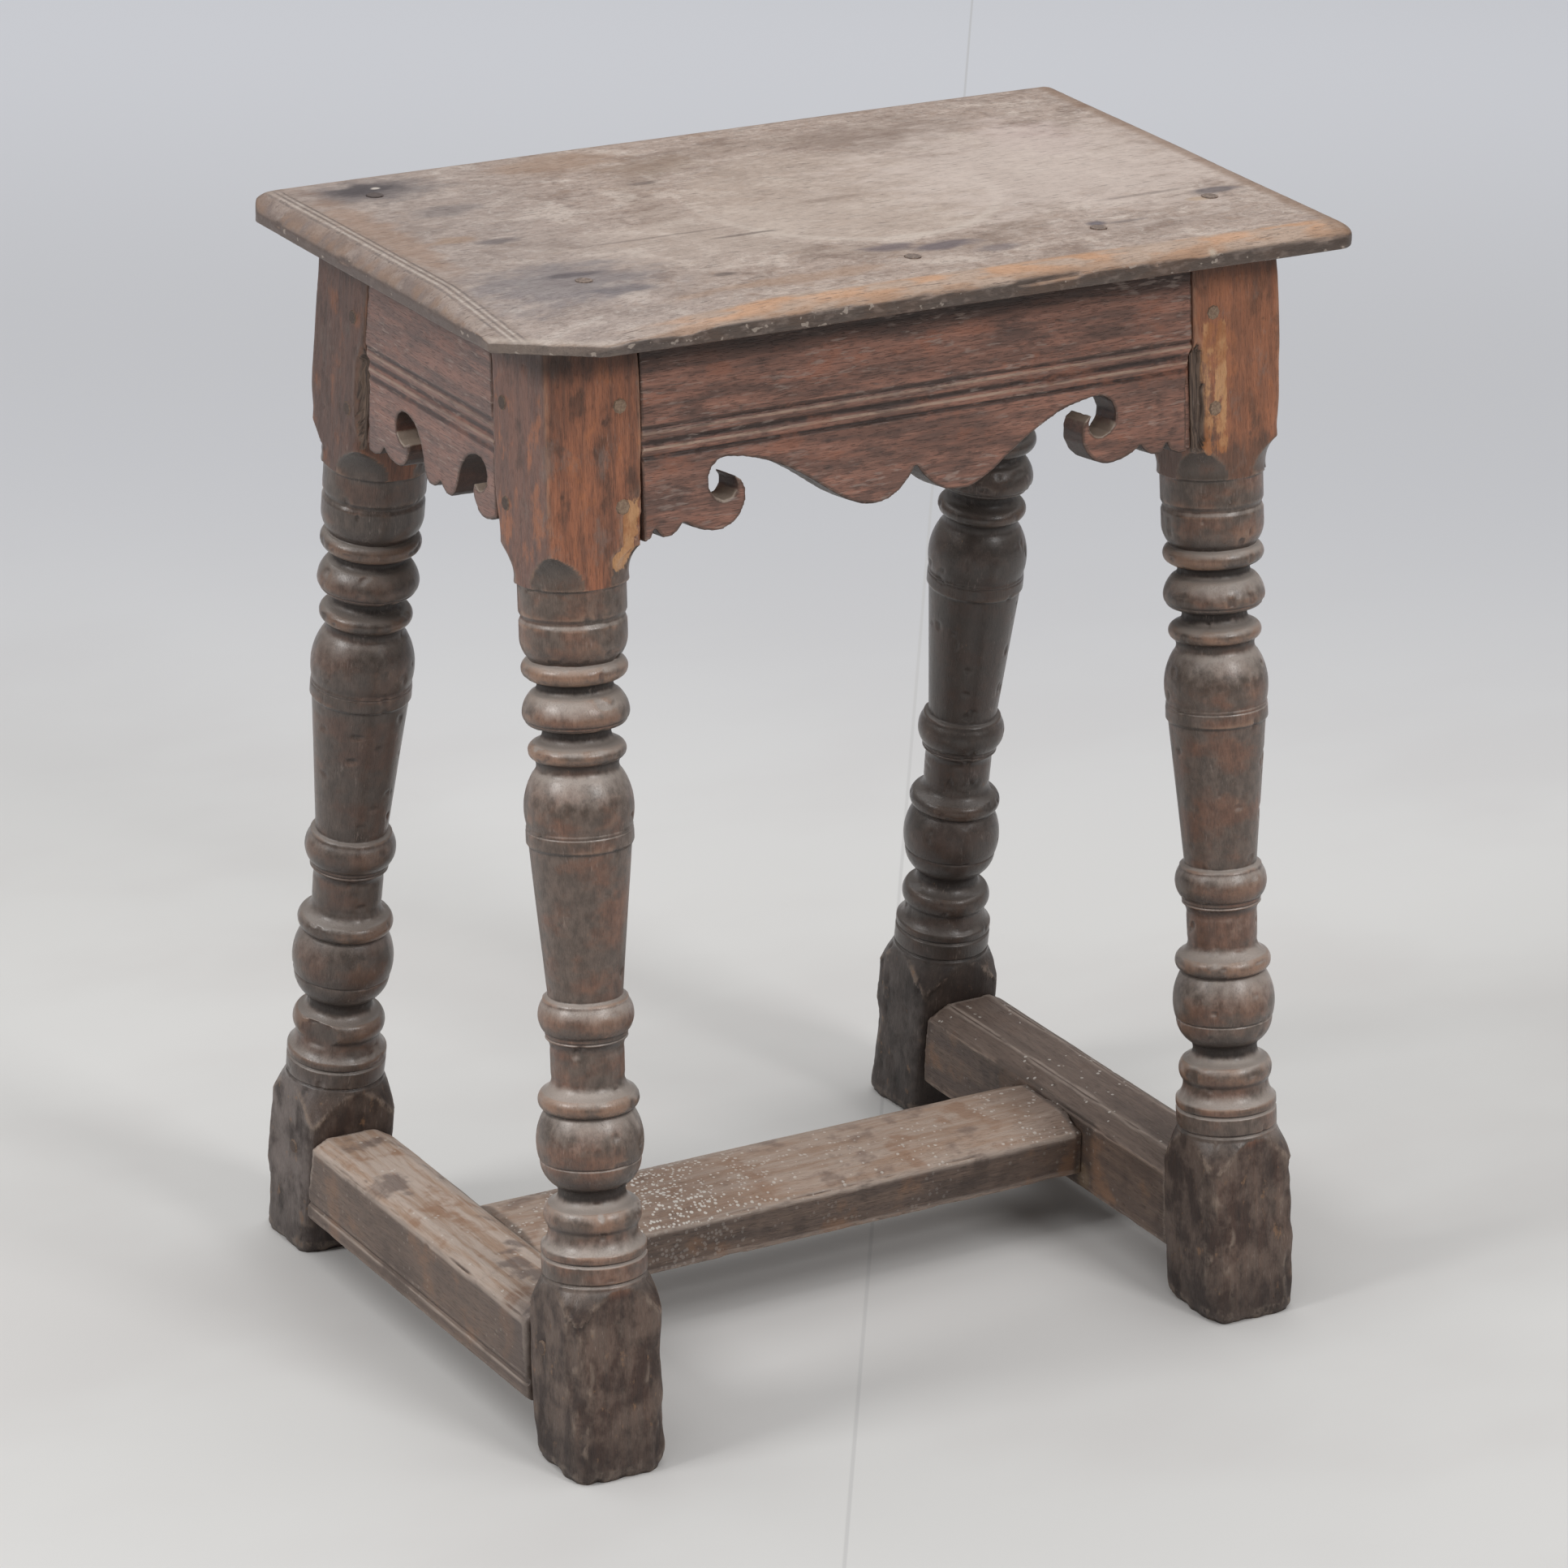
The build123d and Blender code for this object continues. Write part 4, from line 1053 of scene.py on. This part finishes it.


# ---- Studio ----------------------------------------------------------------
# A pale paper floor whose tone is graded with distance as painted light, soft
# lights above and at both sides, and a camera that looks down at the front left
# corner of the stool.
view_yaw, view_pitch, view_roll = radians(31.4869), radians(21.2058), radians(1.4917)
level = Vector((cos(view_yaw), -sin(view_yaw), 0))
onward = Vector((sin(view_yaw), cos(view_yaw), 0))
ahead = onward * cos(view_pitch) - Vector((0, 0, sin(view_pitch)))
above = level.cross(ahead)
right = cos(view_roll) * level + sin(view_roll) * above
above = cos(view_roll) * above - sin(view_roll) * level
camera = put("camera", bpy.data.cameras.new("camera"))
camera.data.sensor_width = 36
camera.data.lens = 144.478
camera.data.clip_end = 60
turn = Matrix([right, above, -ahead]).transposed().to_4x4()
camera.matrix_world = Matrix.Translation((-1.52506, -2.48754, 1.39579)) @ turn
bpy.context.scene.camera = camera

floor_reach = 14
floor_mesh = bpy.data.meshes.new("floor")
floor_corners = [
    (x * floor_reach, y * floor_reach, 0) for x, y in ((-1, -1), (1, -1), (1, 1), (-1, 1))
]
floor_mesh.from_pydata(floor_corners, [], [(0, 1, 2, 3)])
floor = put("floor", floor_mesh)
paper = Finish("paper")
place = paper.place()
east, north, _ = paper.parts(place)
distance = east * sin(view_yaw) + north * cos(view_yaw)
smudge = paper.noise(place, (420, 260, 100), detail=4)
# Painted light: darker in the middle distance and lighter far off, so the backdrop comes out about
# even despite the lamps' fall-off.
near_tone = paper.mix((226, 225, 223), (221, 219, 217), paper.ease(smudge, 0.42, 0.62))
tone = paper.mix(near_tone, (207, 208, 212), paper.ease(distance, 350, 1350))
tone = paper.mix(tone, (227, 229, 235), paper.ease(distance, 1450, 2600))
# A faint seam where two sheets meet.
seam = paper.ease(abs(east * 0.83205 - north * 0.5547 - 48.6), 1.4, 0.5)
tone = paper.mix(tone, (198, 197, 196), seam * 0.5)
paper.set(Base_Color=tone, Roughness=0.9)
paper.cover(floor_mesh)


def soft_light(name, place, aim, size, power):
    """A square soft box at a place in metres, turned to what it lights."""
    lamp = put(name, bpy.data.lights.new(name, "AREA"))
    lamp.data.shape = "SQUARE"
    lamp.data.size = size
    lamp.data.energy = power
    lamp.location = place
    lamp.rotation_euler = (Vector(aim) - Vector(place)).to_track_quat("-Z", "Y").to_euler()


soft_light("light_above", (0.3, 0.9, 4.2), (0.3, 0.9, 0), 8.0, 180)
soft_light("light_left", (-3.8, 0.1, 2.9), (0, 0, 0.3), 1.2, 62)
soft_light("light_front", (1.0, -3.7, 2.9), (0, 0, 0.3), 1.1, 52)
sky = bpy.data.worlds.new("sky")
sky.use_nodes = True
background = sky.node_tree.nodes["Background"].inputs
background["Color"].default_value = (1, 1, 1, 1)
background["Strength"].default_value = 0.2
bpy.context.scene.world = sky
bpy.context.scene.view_settings.view_transform = "Standard"
